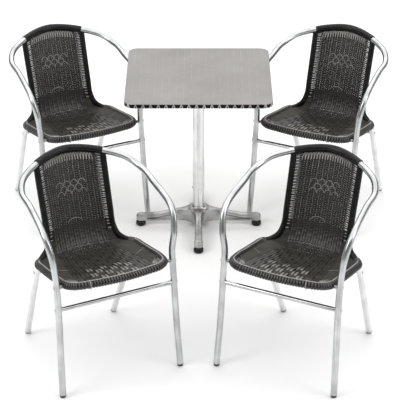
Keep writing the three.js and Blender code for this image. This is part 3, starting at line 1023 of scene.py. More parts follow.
@dataclass
class Loom:
    """Lays strands on a guide with the strand tree."""

    guide: Guide
    tree: bpy.types.GeometryNodeTree

    def lay(
        self,
        name: str,
        threads: list[np.ndarray],
        cane: Cane,
        material: bpy.types.Material,
        count: int = 1,
        step: tuple[float, float, float] = (0.0, 0.0, 0.0),
    ) -> bpy.types.Mesh:
        """Repeats threads over the guide.

        Args:
            name: Name of the mesh.
            threads: The threads of one repeat, in the guide's (x, row, height).
            cane: The strand's section.
            material: Its material.
            count: Number of repeats.
            step: From one repeat to the next.

        Returns:
            The strands as a plain mesh.
        """
        values = {label.replace("_", " ").title(): size for label, size in asdict(cane).items()}
        values |= {"Guide": self.guide.shape, "Material": material, "Count": count, "Step": step}
        values |= {"Reach": self.guide.reach, "Rows": self.guide.rows}
        return grown(name, thread_mesh(name + "_threads", threads), self.tree, values)


# ------------------------------------------------------------------ placing pieces
def add_piece(
    name: str,
    mesh: bpy.types.Mesh,
    material: bpy.types.Material,
    body: str,
    stands_for: tuple[str, ...] = (),
) -> bpy.types.Object:
    """Adds a finished mesh to the scene as a piece of the set.

    Args:
        name: Name of the piece.
        mesh: Its mesh, already in place.
        material: Its material.
        body: The CAD body that it moves with.
        stands_for: CAD nodes that it is shown instead of.

    Returns:
        The piece.
    """
    piece = bpy.data.objects.new(name, mesh)
    bpy.context.scene.collection.objects.link(piece)
    mesh.materials.clear()
    mesh.materials.append(material)
    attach(piece, body)
    if stands_for:
        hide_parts(*stands_for)
    LOG.info("piece %s: %d faces, rides on %s", name, len(mesh.polygons), body)
    return piece


def dress_node(name: str, material: bpy.types.Material) -> None:
    """Gives a CAD node that stays in view its finish.

    Args:
        name: Name of the node.
        material: Its material.
    """
    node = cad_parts[name]
    node.data.materials.clear()
    node.data.materials.append(material)
    LOG.info("node %s keeps its shape", name)


# ------------------------------------------------------------------ table
@dataclass
class Table:
    """The square pedestal table on its four-armed cast base."""

    finishes: Finishes
    side: float = 0.600
    height: float = 0.700
    thickness: float = 0.020
    corner_radius: float = 0.040
    sheet: float = 0.0015
    column_radius: float = 0.025
    base_bottom: float = 0.026
    hub_height: float = 0.098
    hub_radius: float = 0.033
    arm_reach: float = 0.250
    arm_half_hub: float = 0.013
    arm_half_tip: float = 0.0165
    arm_height_hub: float = 0.092
    arm_height_tip: float = 0.050
    pocket_half: float = 0.0105
    groove_depth: float = 0.0030
    shelf_share: float = 0.35
    fillet: float = 0.065
    tip_radius: float = 0.0185
    foot_radius: float = 0.0215
    screw_height: float = 0.180
    joint_gap: float = 0.0002
    corner_steps: int = 14
    side_steps: int = 10
    middle: Vector = field(init=False)

    def __post_init__(self) -> None:
        """Finds the table's place from its column."""
        low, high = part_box("table_column")
        self.middle = Vector(((low.x + high.x) / 2, (low.y + high.y) / 2, 0.0))

    def outline(self, inset: float) -> np.ndarray:
        """Walks round the top's edge.

        Args:
            inset: Distance inside the outer edge.

        Returns:
            The (x, y) points of a closed outline, the same number for every inset.
        """
        reach = self.side / 2 - self.corner_radius
        radius = self.corner_radius - inset

        def corner(turn: float) -> np.ndarray:
            """Gives the middle of the corner whose arc starts at a turn."""
            middle = turn + math.pi / 4
            return np.array([math.cos(middle), math.sin(middle)]) * reach * math.sqrt(2)

        points = []
        for quarter in range(4):
            start, end = quarter * math.pi / 2, (quarter + 1) * math.pi / 2
            arc = start + np.linspace(0, math.pi / 2, self.corner_steps + 1)
            points.append(corner(start) + radius * np.stack([np.cos(arc), np.sin(arc)], -1))
            along = np.linspace(0, 1, self.side_steps + 1)[1:-1, None]
            edge = radius * np.array([math.cos(end), math.sin(end)])
            points.append((corner(start) + edge) * (1 - along) + (corner(end) + edge) * along)
        return np.vstack(points)

    def stacked(self, name: str, levels: list[tuple[float, float]], caps: bool) -> bpy.types.Mesh:
        """Makes a rounded square solid from (inset, height) levels, with a UV map in metres.

        Args:
            name: Name of the mesh.
            levels: The levels, from the bottom up.
            caps: Whether both ends are filled.

        Returns:
            The mesh.
        """
        rings = []
        for inset, height in levels:
            flat = self.outline(inset)
            rings.append(np.column_stack([flat, np.full(len(flat), height)]))
        grid = np.array(rings)
        along = lengths_along(np.vstack([grid[0], grid[0][:1]]))
        heights = np.array([height - levels[0][1] for _, height in levels])
        uv = np.stack(np.meshgrid(along, heights), -1)
        return grid_mesh(name, grid, uv, wrap=True, caps=caps)

    def make_top(self) -> None:
        """Builds the sheet-covered top with its rolled edge."""
        top = self.height
        # Each level is how far in the sheet stands and how high.
        skin = [
            (self.sheet + self.joint_gap, top - self.sheet),
            (0.0, top - self.sheet),
            (0.0, top - 0.0010),
            (0.0003, top - 0.0004),
            (0.0010, top),
            (0.0030, top),
        ]
        sheet = self.stacked("top_sheet", skin, True)
        self.put("table_top_sheet", sheet, self.finishes.top, ("table_top_skin",))
        low, high = top - self.thickness, top - self.sheet - self.joint_gap
        strip = [
            (self.sheet, low + self.joint_gap),
            (0.0008, low),
            (0.0, low + 0.0008),
            (0.0, low + 0.006),
            (0.0, high - 0.006),
            (0.0, high),
            (self.sheet, high),
        ]
        band = self.stacked("edge_strip", [*strip, strip[0]], False)
        self.put("table_edge_strip", band, self.finishes.edge, ("table_edge_band",))
        dress_node("table_top_core", self.finishes.board)
        dress_node("table_top_bracket", self.finishes.cast)

    def put(
        self,
        name: str,
        mesh: bpy.types.Mesh,
        material: bpy.types.Material,
        stands_for: tuple[str, ...] = (),
        body: str = "table",
    ) -> None:
        """Moves a mesh from the table's own frame to its place and adds it."""
        mesh.transform(Matrix.Translation(self.middle))
        add_piece(name, finished(mesh), material, body, stands_for)

    def make_column(self) -> None:
        """Builds the column, with the fine lip at each of its ends."""
        low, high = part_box("table_column")
        radius, lip = self.column_radius, 0.0006
        profile = [(radius - 2 * lip, low.z), (radius - lip / 2, low.z + lip), (radius, low.z + 3 * lip)]
        profile += [(radius, z) for z in np.linspace(low.z + 0.01, high.z - 0.01, 12)]
        profile += [(radius, high.z - 3 * lip), (radius - lip, high.z)]
        mesh = turned_mesh("column", profile, 64)
        self.put("table_column_tube", mesh, self.finishes.column, ("table_column",))
        head = [(0.0036, -0.001), (0.0042, 0.0), (0.0040, 0.0016), (0.0022, 0.0028)]
        screw = turned_mesh("screw", head, 20)
        outward = Matrix.Rotation(-math.pi / 2, 4, "Y")
        screw.transform(Matrix.Translation((-radius, 0.0, self.screw_height)) @ outward)
        self.put("table_column_screw", screw, self.finishes.steel)

    def arm_top(self, reach: np.ndarray) -> np.ndarray:
        """Gives the height of an arm's ridge at a distance from the column.

        Args:
            reach: Distances from the column's axis.

        Returns:
            The heights.
        """
        stations = [0, self.hub_radius, self.hub_radius + 0.012, self.arm_reach - self.fillet]
        stations.append(self.arm_reach + self.fillet)
        heights = [self.arm_height_hub, self.arm_height_hub, self.arm_height_hub - 0.006]
        heights += [self.arm_height_tip + 0.006, self.arm_height_tip]
        return np.interp(reach, stations, heights)

    def arm_side(self) -> tuple[np.ndarray, np.ndarray, np.ndarray]:
        """Walks one quarter of the base's outline, from the tip of the +X arm to the diagonal.

        Returns:
            The (x, y) points, the (x, y) directions outwards, and the share of the side pocket.
        """
        tip = math.asin(self.arm_half_tip / self.tip_radius)
        arc = np.linspace(0, math.pi - tip, 9)
        tip_out = np.stack([np.cos(arc), np.sin(arc)], -1)
        round_tip = np.array([self.arm_reach, 0.0]) + self.tip_radius * tip_out
        inner = self.arm_half_hub + self.fillet
        x = np.linspace(self.arm_reach - 0.012, inner + 0.002, 16)
        share = (self.arm_reach - x) / (self.arm_reach - inner)
        half = self.arm_half_tip + (self.arm_half_hub - self.arm_half_tip) * share
        straight = np.stack([x, half], -1)
        side_out = np.tile([0.0, 1.0], (len(x), 1))
        turn = np.linspace(0, math.pi / 4, 12)
        curve = np.stack([inner - self.fillet * np.sin(turn), inner - self.fillet * np.cos(turn)], -1)
        curve_out = np.stack([np.sin(turn), np.cos(turn)], -1)
        points = np.vstack([round_tip, straight, curve])
        outward = np.vstack([tip_out, side_out, curve_out])
        pocket = np.clip((x - inner) / 0.02, 0, 1) * np.clip((self.arm_reach - 0.024 - x) / 0.006, 0, 1)
        pocket = np.concatenate([np.zeros(len(arc)), smooth_step(pocket), np.zeros(len(turn))])
        return points, outward, pocket

    def base_ring(self) -> tuple[np.ndarray, np.ndarray, np.ndarray, np.ndarray]:
        """Walks the base's whole outline from the eighth that arm_side gives.

        Returns:
            Points, directions outwards, pocket shares, and the spine point under each.
        """
        points, outward, pocket = self.arm_side()
        spine = np.column_stack([np.maximum(points[:, 0], self.hub_radius * 0.5), np.zeros(len(points))])
        flip = np.array([1.0, -1.0])
        halves = []
        for values in (points, outward, spine):
            halves.append(np.vstack([values[::-1] * flip, values[1:]]))
        pockets = np.concatenate([pocket[::-1], pocket[1:]])
        whole = [[], [], []]
        for quarter in range(4):
            c, s = math.cos(quarter * math.pi / 2), math.sin(quarter * math.pi / 2)
            turn = np.array([[c, s], [-s, c]])
            for store, values in zip(whole, halves):
                store.append(values[1:] @ turn)
        return *(np.vstack(values) for values in whole), np.tile(pockets[1:], 4)

    def make_base(self) -> None:
        """Builds the cast base: four ridged arms that run into the hub in wide hollows."""
        points, outward, spine, pocket = self.base_ring()
        ridge = np.minimum(self.arm_top(np.abs(points[:, 0])), self.arm_top(np.abs(points[:, 1])))
        low, groove = self.base_bottom, self.groove_depth * pocket + self.joint_gap
        depth = pocket * (np.abs(points).min(axis=1) - self.pocket_half)
        shelf = depth * self.shelf_share
        # Each level is how far in the wall stands and how high, from the underside to the ridge.
        flat = np.full(len(ridge), low)
        levels = [
            (0.0014, flat),
            (0.0, flat + 0.0014),
            (0.0, flat + 0.0050),
            (depth, flat + 0.0080),
            (shelf, ridge - 0.0180),
            (shelf + groove, ridge - 0.0165),
            (shelf + groove, ridge - 0.0140),
            (0.0, ridge - 0.0130),
            (0.0, ridge - 0.0055),
            (0.0010, ridge - 0.0026),
            (0.0030, ridge - 0.0008),
            (0.0058, ridge),
        ]
        rings = [np.column_stack([points - outward * np.reshape(inset, (-1, 1)), z]) for inset, z in levels]
        peak = np.minimum(self.arm_top(np.abs(spine[:, 0])), self.arm_top(np.abs(spine[:, 1]))) + 0.0012
        rings.append(np.column_stack([spine, peak]))
        grid = np.array(rings)
        along = lengths_along(np.vstack([points, points[:1]]))
        uv = np.stack(np.meshgrid(along, np.linspace(0, 0.1, len(grid))), -1)
        walls = closed(grid_mesh("base_walls", grid, uv, wrap=True, caps=False))
        hub, top, bore = self.hub_radius, self.hub_height, self.column_radius
        profile = [
            (hub - 0.001, low),
            (hub, low + 0.002),
            (hub, top - 0.012),
            (hub - 0.001, top - 0.007),
            (bore + 0.0035, top - 0.001),
            (bore + 0.0022, top),
            (bore + 0.0004, top),
            (bore + 0.0004, top - 0.010),
        ]
        mesh = joined("cast_base", [finished(walls), turned_mesh("hub", profile, 56)])
        self.put("table_cast_base", mesh, self.finishes.cast, ("table_base",))

    def make_feet(self) -> None:
        """Builds the rubber feet with their levelling studs."""
        radius, top = self.foot_radius, self.base_bottom
        profile = [
            (radius - 0.0065, 0.0),
            (radius - 0.0035, 0.0008),
            (radius - 0.0010, 0.0040),
            (radius - 0.0001, 0.0080),
            (radius - 0.0001, 0.0120),
            (radius - 0.0012, 0.0170),
            (radius - 0.0034, 0.0210),
            (radius - 0.0070, 0.0238),
            (radius - 0.0105, top - 0.0006),
            (0.0040, top - 0.0004),
            (0.0040, 0.045),
        ]
        ways = {"right": (1, 0), "back": (0, 1), "left": (-1, 0), "front": (0, -1)}
        for label, (x, y) in ways.items():
            mesh = turned_mesh(f"foot_{label}", profile, 36)
            mesh.transform(Matrix.Translation((x * self.arm_reach, y * self.arm_reach, 0.0)))
            body = f"table_foot_{label}"
            self.put(f"{body}_pad", mesh, self.finishes.rubber, (body,), body)

    def build(self) -> None:
        """Builds the whole table."""
        self.make_top()
        self.make_column()
        self.make_base()
        self.make_feet()
        for name in ("table_tie_rod", "table_tie_nut"):
            dress_node(name, self.finishes.steel)


# ------------------------------------------------------------------ chair shapes
@dataclass(frozen=True)
class Section:
    """One cross section of the seat and back: half width, then (y, z) of its edge and its middle."""

    half: float
    edge: tuple[float, float]
    middle: tuple[float, float]


HOOP_POINTS = (
    (0.2390, -0.1970, 0.000),
    (0.2335, -0.1780, 0.182),
    (0.2300, -0.1635, 0.366),
    (0.2305, -0.1510, 0.476),
    (0.2400, -0.1500, 0.548),
    (0.2500, -0.1120, 0.622),
    (0.2430, 0.0310, 0.671),
    (0.2370, 0.1300, 0.690),
    (0.1930, 0.1970, 0.718),
    (0.0000, 0.2860, 0.747),
)

SECTIONS = (
    Section(0.165, (-0.182, 0.436), (-0.200, 0.436)),
    Section(0.194, (-0.158, 0.436), (-0.168, 0.434)),
    Section(0.202, (-0.105, 0.431), (-0.108, 0.427)),
    Section(0.203, (-0.030, 0.417), (-0.034, 0.412)),
    Section(0.202, (0.045, 0.405), (0.042, 0.401)),
    Section(0.198, (0.098, 0.398), (0.098, 0.397)),
    Section(0.170, (0.127, 0.402), (0.140, 0.402)),
    Section(0.144, (0.140, 0.424), (0.165, 0.424)),
    Section(0.133, (0.160, 0.460), (0.184, 0.460)),
    Section(0.132, (0.177, 0.520), (0.205, 0.522)),
    Section(0.133, (0.210, 0.628), (0.246, 0.632)),
    Section(0.134, (0.239, 0.730), (0.286, 0.747)),
)


@dataclass
class SeatSurface:
    """The curved surface between the rim rods that the seat and back are woven on."""

    back_pitch: float = 0.0040
    seat_pitch: float = 0.0280
    seat_end: float = 0.325
    back_start: float = 0.405
    band_front: float = 0.150
    band_back: float = 0.106
    rim_gap: float = 0.006
    margin: float = 0.2
    steps: int = 24
    edge: np.ndarray = field(init=False)
    centre: np.ndarray = field(init=False)
    along: np.ndarray = field(init=False)
    rows_at: np.ndarray = field(init=False)

    def __post_init__(self) -> None:
        """Measures the surface and counts its rows."""
        self.edge = smooth_line(np.array([(s.half, *s.edge) for s in SECTIONS]), self.steps)
        self.centre = smooth_line(np.array([(0.0, *s.middle) for s in SECTIONS]), self.steps)
        self.along = lengths_along((self.edge * (0, 1, 1) + self.centre) / 2)
        pitch = self.back_pitch + (self.seat_pitch - self.back_pitch) * self.seat_share(self.along)
        steps = np.diff(self.along) * 2 / (pitch[1:] + pitch[:-1])
        self.rows_at = np.concatenate([[0.0], np.cumsum(steps)])

    @property
    def rows(self) -> float:
        """Number of weaving rows from the front edge to the top."""
        return float(self.rows_at[-1])

    def seat_share(self, along: np.ndarray) -> np.ndarray:
        """Gives 1 on the seat and 0 on the back, eased over the bend between them."""
        return 1 - smooth_step((along - self.seat_end) / (self.back_start - self.seat_end))

    def band(self, along: np.ndarray) -> np.ndarray:
        """Gives the half width of the middle band, which fans out towards the front."""
        share = smooth_step(along / self.back_start * 1.05)
        return self.band_front + (self.band_back - self.band_front) * share

    def row_of(self, along: float) -> float:
        """Gives the row at a distance from the front edge."""
        return float(np.interp(along, self.along, self.rows_at))

    def points(self, across: np.ndarray, rows: np.ndarray) -> np.ndarray:
        """Gives points of the surface.

        Args:
            across: Places across, where 1 is the middle band's edge and 1 + margin the rim.
            rows: Weaving rows, one for each line of the result.

        Returns:
            Points, rows by places by three.
        """
        along = np.interp(rows, self.rows_at, self.along)
        band = self.band(along)[:, None]
        edge = np.stack([np.interp(along, self.along, self.edge[:, k]) for k in range(3)], -1)
        middle = np.stack([np.interp(along, self.along, self.centre[:, k]) for k in range(3)], -1)
        side = np.clip((np.abs(across) - 1) / self.margin, 0, None)[None]
        inner = np.clip(np.abs(across), 0, 1)[None] * band
        x = inner + side * (edge[:, :1] - self.rim_gap - band)
        share = np.clip(x / edge[:, :1], 0, 1.1) ** 2
        grid = middle[:, None] * (1 - share[..., None]) + edge[:, None] * share[..., None]
        grid[..., 0] = x * np.sign(across)[None]
        return grid

    def guide(self) -> Guide:
        """Makes the guide surface for the looms.

        Returns:
            The guide.
        """
        reach = 1 + self.margin
        across = np.linspace(-reach, reach, 49)
        rows = np.linspace(0, self.rows, 321)
        along = np.interp(rows, self.rows_at, self.along)
        grid = self.points(across, rows)
        spread = self.band(along) / self.band_back
        return Guide("seat_guide", grid, reach, self.rows, self.seat_share(along), spread)


def hoop_line(end_height: float, steps: int = 14) -> np.ndarray:
    """Gives the hoop's centre line from the right foot over the back to the left foot.

    Args:
        end_height: Height at which both ends stop.
        steps: Pieces between one control point and the next.

    Returns:
        The points of the line.
    """
    points = np.array(HOOP_POINTS)
    points[0] = points[0] + (points[1] - points[0]) * end_height / points[1, 2]
    left = points[:-1][::-1] * (-1, 1, 1)
    return smooth_line(np.vstack([points, left]), steps)


def frame_line(steps: int = 12) -> np.ndarray:
    """Gives the rim rod's centre line, from the right top round the seat to the left top.

    Args:
        steps: Pieces between one control point and the next.

    Returns:
        The points of the line.
    """
    right = [(s.half, *s.edge) for s in reversed(SECTIONS)]
    front = SECTIONS[0]
    for share in (0.66, 0.33):
        y = front.middle[0] + (front.edge[0] - front.middle[0]) * share**2
        right.append((front.half * share, y, front.edge[1]))
    left = [(-x, y, z) for x, y, z in reversed(right)]
    return smooth_line(np.array([*right, (0.0, *front.middle), *left]), steps)


@dataclass
class LocalPiece:
    """A mesh in the chair's own frame, with what a placed copy of it needs."""

    name: str
    mesh: bpy.types.Mesh
    material: bpy.types.Material
    slot: Slot
    stands_for: tuple[str, ...] = ()
    only_on: int = 0


@dataclass
class ChairFrame:
    """The bent tubes of a chair: hoop, rails, rear legs, sleeve, rim rods and glides."""

    finishes: Finishes
    hoop_radius: float = 0.01225
    frame_radius: float = 0.0122
    sleeve_radius: float = 0.0150
    sleeve_half: float = 0.136
    leg_radius: float = 0.0120
    rail_radius: float = 0.0080
    front_rail: float = 0.347
    rear_rail: float = 0.355
    glide_radius: float = 0.0118
    tube_end: float = 0.010
    rim_height: float = 0.433
    sleeve_lip: float = 0.0009
    sleeve_rounding: float = 0.002
    back_height: float = 0.6
    stud_radius: float = 0.0046
    spacer_radius: float = 0.0062
    spacer_reach: float = 0.193
    rear_foot: Vector = field(default_factory=lambda: Vector((0.182, 0.286, 0.0)))
    rear_top: Vector = field(default_factory=lambda: Vector((SECTIONS[5].half, *SECTIONS[5].edge)))

    def on_rear_leg(self, height: float) -> Vector:
        """Gives the point of the right rear leg's line at a height."""
        return self.rear_foot.lerp(self.rear_top, height / self.rear_top.z)

    def on_front_leg(self, height: float) -> Vector:
        """Gives the point of the right front leg's line at a height.

        Args:
            height: Height above the floor.

        Returns:
            The point.
        """
        line = hoop_line(self.tube_end)
        half = line[: len(line) // 2]
        return Vector([float(np.interp(height, half[:, 2], half[:, k])) for k in range(3)])

    def bar(self, name: str, start: Vector, end: Vector, radius: float) -> bpy.types.Mesh:
        """Makes a straight tube with slightly rounded ends.

        Args:
            name: Name of the mesh.
            start: Its first end.
            end: Its other end.
            radius: Its radius.

        Returns:
            The mesh.
        """
        ends = np.array([0.0, 0.0008, 0.0020])
        length = (end - start).length
        stations = np.concatenate([ends, np.linspace(0.03, length - 0.03, 10), length - ends[::-1]])
        line = np.array(start)[None] + np.outer(stations / length, np.array(end - start))
        radii = np.full(len(stations), radius)
        radii[[0, -1]] -= 0.0008
        radii[[1, -2]] -= 0.0003
        return tube_mesh(name, line, radii, 24)

    def glide(self, name: str, foot: Vector, towards: Vector) -> bpy.types.Mesh:
        """Makes a leaning domed glide whose underside is worn flat on the floor.

        Args:
            name: Name of the mesh.
            foot: Middle of the leg's end on the floor.
            towards: A point further up the leg.

        Returns:
            The mesh.
        """
        radius, top = self.glide_radius, self.tube_end
        profile = [
            (radius * 0.62, -0.004),
            (radius * 0.80, 0.0012),
            (radius * 0.93, 0.0042),
            (radius, 0.0076),
            (radius, top),
            (radius * 0.7, top + 0.0006),
        ]
        mesh = turned_mesh(name, profile, 28)
        lean = (towards - foot).normalized().to_track_quat("Z", "Y").to_matrix().to_4x4()
        mesh.transform(Matrix.Translation(foot) @ lean)
        for vertex in mesh.vertices:
            vertex.co.z = max(vertex.co.z, 0.0)
        return finished(mesh)

    def sleeve(self) -> bpy.types.Mesh:
        """Makes the smooth sleeve over the middle of the back rail.

        Returns:
            The mesh.
        """
        line = hoop_line(self.tube_end, 60)
        line = line[(np.abs(line[:, 0]) < self.sleeve_half) & (line[:, 2] > self.back_height)]
        from_end = lengths_along(line)
        from_end = np.minimum(from_end, from_end[-1] - from_end)
        share = np.clip(from_end / self.sleeve_rounding, 0, 1)
        rounding = np.sqrt(np.clip(1 - (1 - share) ** 2, 0, 1))
        lip = self.sleeve_lip
        radii = self.hoop_radius + lip + (self.sleeve_radius - self.hoop_radius - lip) * rounding
        return tube_mesh("sleeve", line, radii, 36)

    def studs(self, tree: bpy.types.GeometryNodeTree) -> bpy.types.Mesh:
        """Sets the screw heads that hold the rails and the seat to the legs.

        Args:
            tree: The tree that makes the heads.

        Returns:
            The mesh.
        """
        places, outward = [], []
        for side in (-1, 1):
            heights = (self.front_rail, self.rim_height)
            spots = [(self.on_front_leg(height), self.hoop_radius) for height in heights]
            spots.append((self.on_rear_leg(self.rear_rail), self.leg_radius))
            for spot, radius in spots:
                places.append((side * (spot.x + radius), spot.y, spot.z))
                outward.append((float(side), 0.0, 0.0))
        mesh = bpy.data.meshes.new("stud_points")
        mesh.from_pydata(places, [], [])
        mesh.attributes.new(OUTWARD, "FLOAT_VECTOR", "POINT").data.foreach_set("vector", np.ravel(outward))
        made = grown("studs", mesh, tree, {"Radius": self.stud_radius, "Material": self.finishes.steel})
        if UV_NAME not in made.uv_layers:
            made.uv_layers.new(name=UV_NAME)
        return made

    def brackets(self) -> bpy.types.Mesh:
        """Makes the short spacers between the front legs and the seat rim.

        Returns:
            The mesh.
        """
        bars = []
        for side in (-1, 1):
            leg = self.on_front_leg(self.rim_height)
            start = Vector((side * (leg.x - 0.010), leg.y, self.rim_height))
            end = Vector((side * self.spacer_reach, leg.y + 0.004, self.rim_height))
            bars.append(self.bar("spacer", start, end, self.spacer_radius))
        return joined("spacers", bars)

    def pieces(self, studs: bpy.types.GeometryNodeTree) -> list[LocalPiece]:
        """Builds every tube and small part of the frame.

        Args:
            studs: The tree that makes the screw heads.

        Returns:
            The pieces, in the chair's own frame.
        """
        flip = Vector((-1, 1, 1))
        dress = self.finishes
        hoop = tube_mesh("hoop", hoop_line(self.tube_end), self.hoop_radius, 32)
        rail_end = self.on_front_leg(self.front_rail)
        rear_end = self.on_rear_leg(self.rear_rail)
        front = self.bar("front_rail", rail_end * flip, rail_end, self.rail_radius)
        rear = self.bar("rear_rail", rear_end * flip, rear_end, self.rail_radius)
        rods = tube_mesh("rim_rods", frame_line(), self.frame_radius - 0.0004, 24)
        made = [
            LocalPiece("hoop", hoop, dress.tube, Slot.CHAIR_TUBE, ("hoop_tube",)),
            LocalPiece("sleeve", self.sleeve(), dress.sleeve, Slot.RAIL_SLEEVE, ("top_sleeve",)),
            LocalPiece("rim_rods", rods, dress.stile, Slot.WRAPPED_RIM, ("seat_frame",)),
            LocalPiece("front_stretcher", front, dress.rail, Slot.CHAIR_TUBE, ("front_rail",)),
            LocalPiece("rear_stretcher", rear, dress.rail, Slot.CHAIR_TUBE, ("rear_rail",)),
            LocalPiece("screw_heads", self.studs(studs), dress.steel, Slot.STEEL_FIXINGS),
            LocalPiece("seat_spacers", self.brackets(), dress.steel, Slot.STEEL_FIXINGS),
        ]
        foot, knee = Vector(HOOP_POINTS[0]), Vector(HOOP_POINTS[1])
        for label, way in (("right", Vector((1, 1, 1))), ("left", flip)):
            low, high = self.tube_end, self.rear_top.z - 0.008
            ends = [self.on_rear_leg(height) * way for height in (low, high)]
            leg = self.bar(f"back_leg_{label}", *ends, self.leg_radius)
            front_glide = self.glide(f"front_foot_{label}", foot * way, knee * way)
            back_glide = self.glide(f"back_foot_{label}", self.rear_foot * way, self.rear_top * way)
            for name, mesh, finish, slot, node in (
                ("back_leg", leg, dress.rear_leg, Slot.CHAIR_TUBE, "rear_leg"),
                ("front_foot", front_glide, dress.dark_glide, Slot.DARK_GLIDE, "front_glide"),
                ("back_foot", back_glide, dress.grey_glide, Slot.GREY_GLIDE, "rear_glide"),
            ):
                made.append(LocalPiece(f"{name}_{label}", mesh, finish, slot, (f"{node}_{label}",)))
        return made


# ------------------------------------------------------------------ weaving
# Width, thickness and lift of each kind of strand, in metres, then how it rides and widens.
BACK_WEFT = Cane(
    0.0036, 0.0014, 0.0044, wave_back=0.0016, wave_seat=0.0009, widen_seat=0.6, segment=0.0027
)
BACKING = Cane(0.0150, 0.0010, 0.0004)
STRIP = Cane(
    0.0094, 0.0018, 0.0042, wave_back=0.0002, wave_seat=0.0008, widen_spread=1.15, segment=0.0045, sides=6
)
FLOAT = Cane(0.0056, 0.0012, 0.0056, wave_seat=0.0006, widen_spread=1.3, segment=0.0045, sides=6)
BEND = Cane(0.0026, 0.0012, 0.0058, segment=0.0045, sides=6)
EDGE_WRAP = Cane(0.0036, 0.0020, 0.0054, wave_back=0.0028, wave_seat=0.0016, segment=0.0025)
PANEL = Cane(0.0060, 0.0016, 0.0036, wave_back=0.0010, wave_seat=0.0012, segment=0.006)
LACE = Cane(0.0026, 0.0020, 0.0072, wave_back=0.0010, segment=0.004)
LOOP = Cane(0.0028, 0.0020, 0.0062, wave_back=0.0014, segment=0.003)
FAN = Cane(0.0034, 0.0018, 0.0040, wave_seat=0.002, segment=0.006)
TIE = Cane(0.0022, 0.0016, 0.0052, wave_seat=0.0012, segment=0.006)
RIM_WRAP = Cane(0.0060, 0.0036, 0.0006, segment=0.0042, sides=6)


def thread(x: object, row: object, height: object) -> np.ndarray:
    """Gives a thread's points from its places across, its rows and its heights in waves."""
    return np.stack(np.broadcast_arrays(x, row, height), -1).astype(float)


def shifted(lines: list[np.ndarray], across: float, rows: float) -> list[np.ndarray]:
    """Moves threads across the guide and along it."""
    return [line + np.array([across, rows, 0.0]) for line in lines]


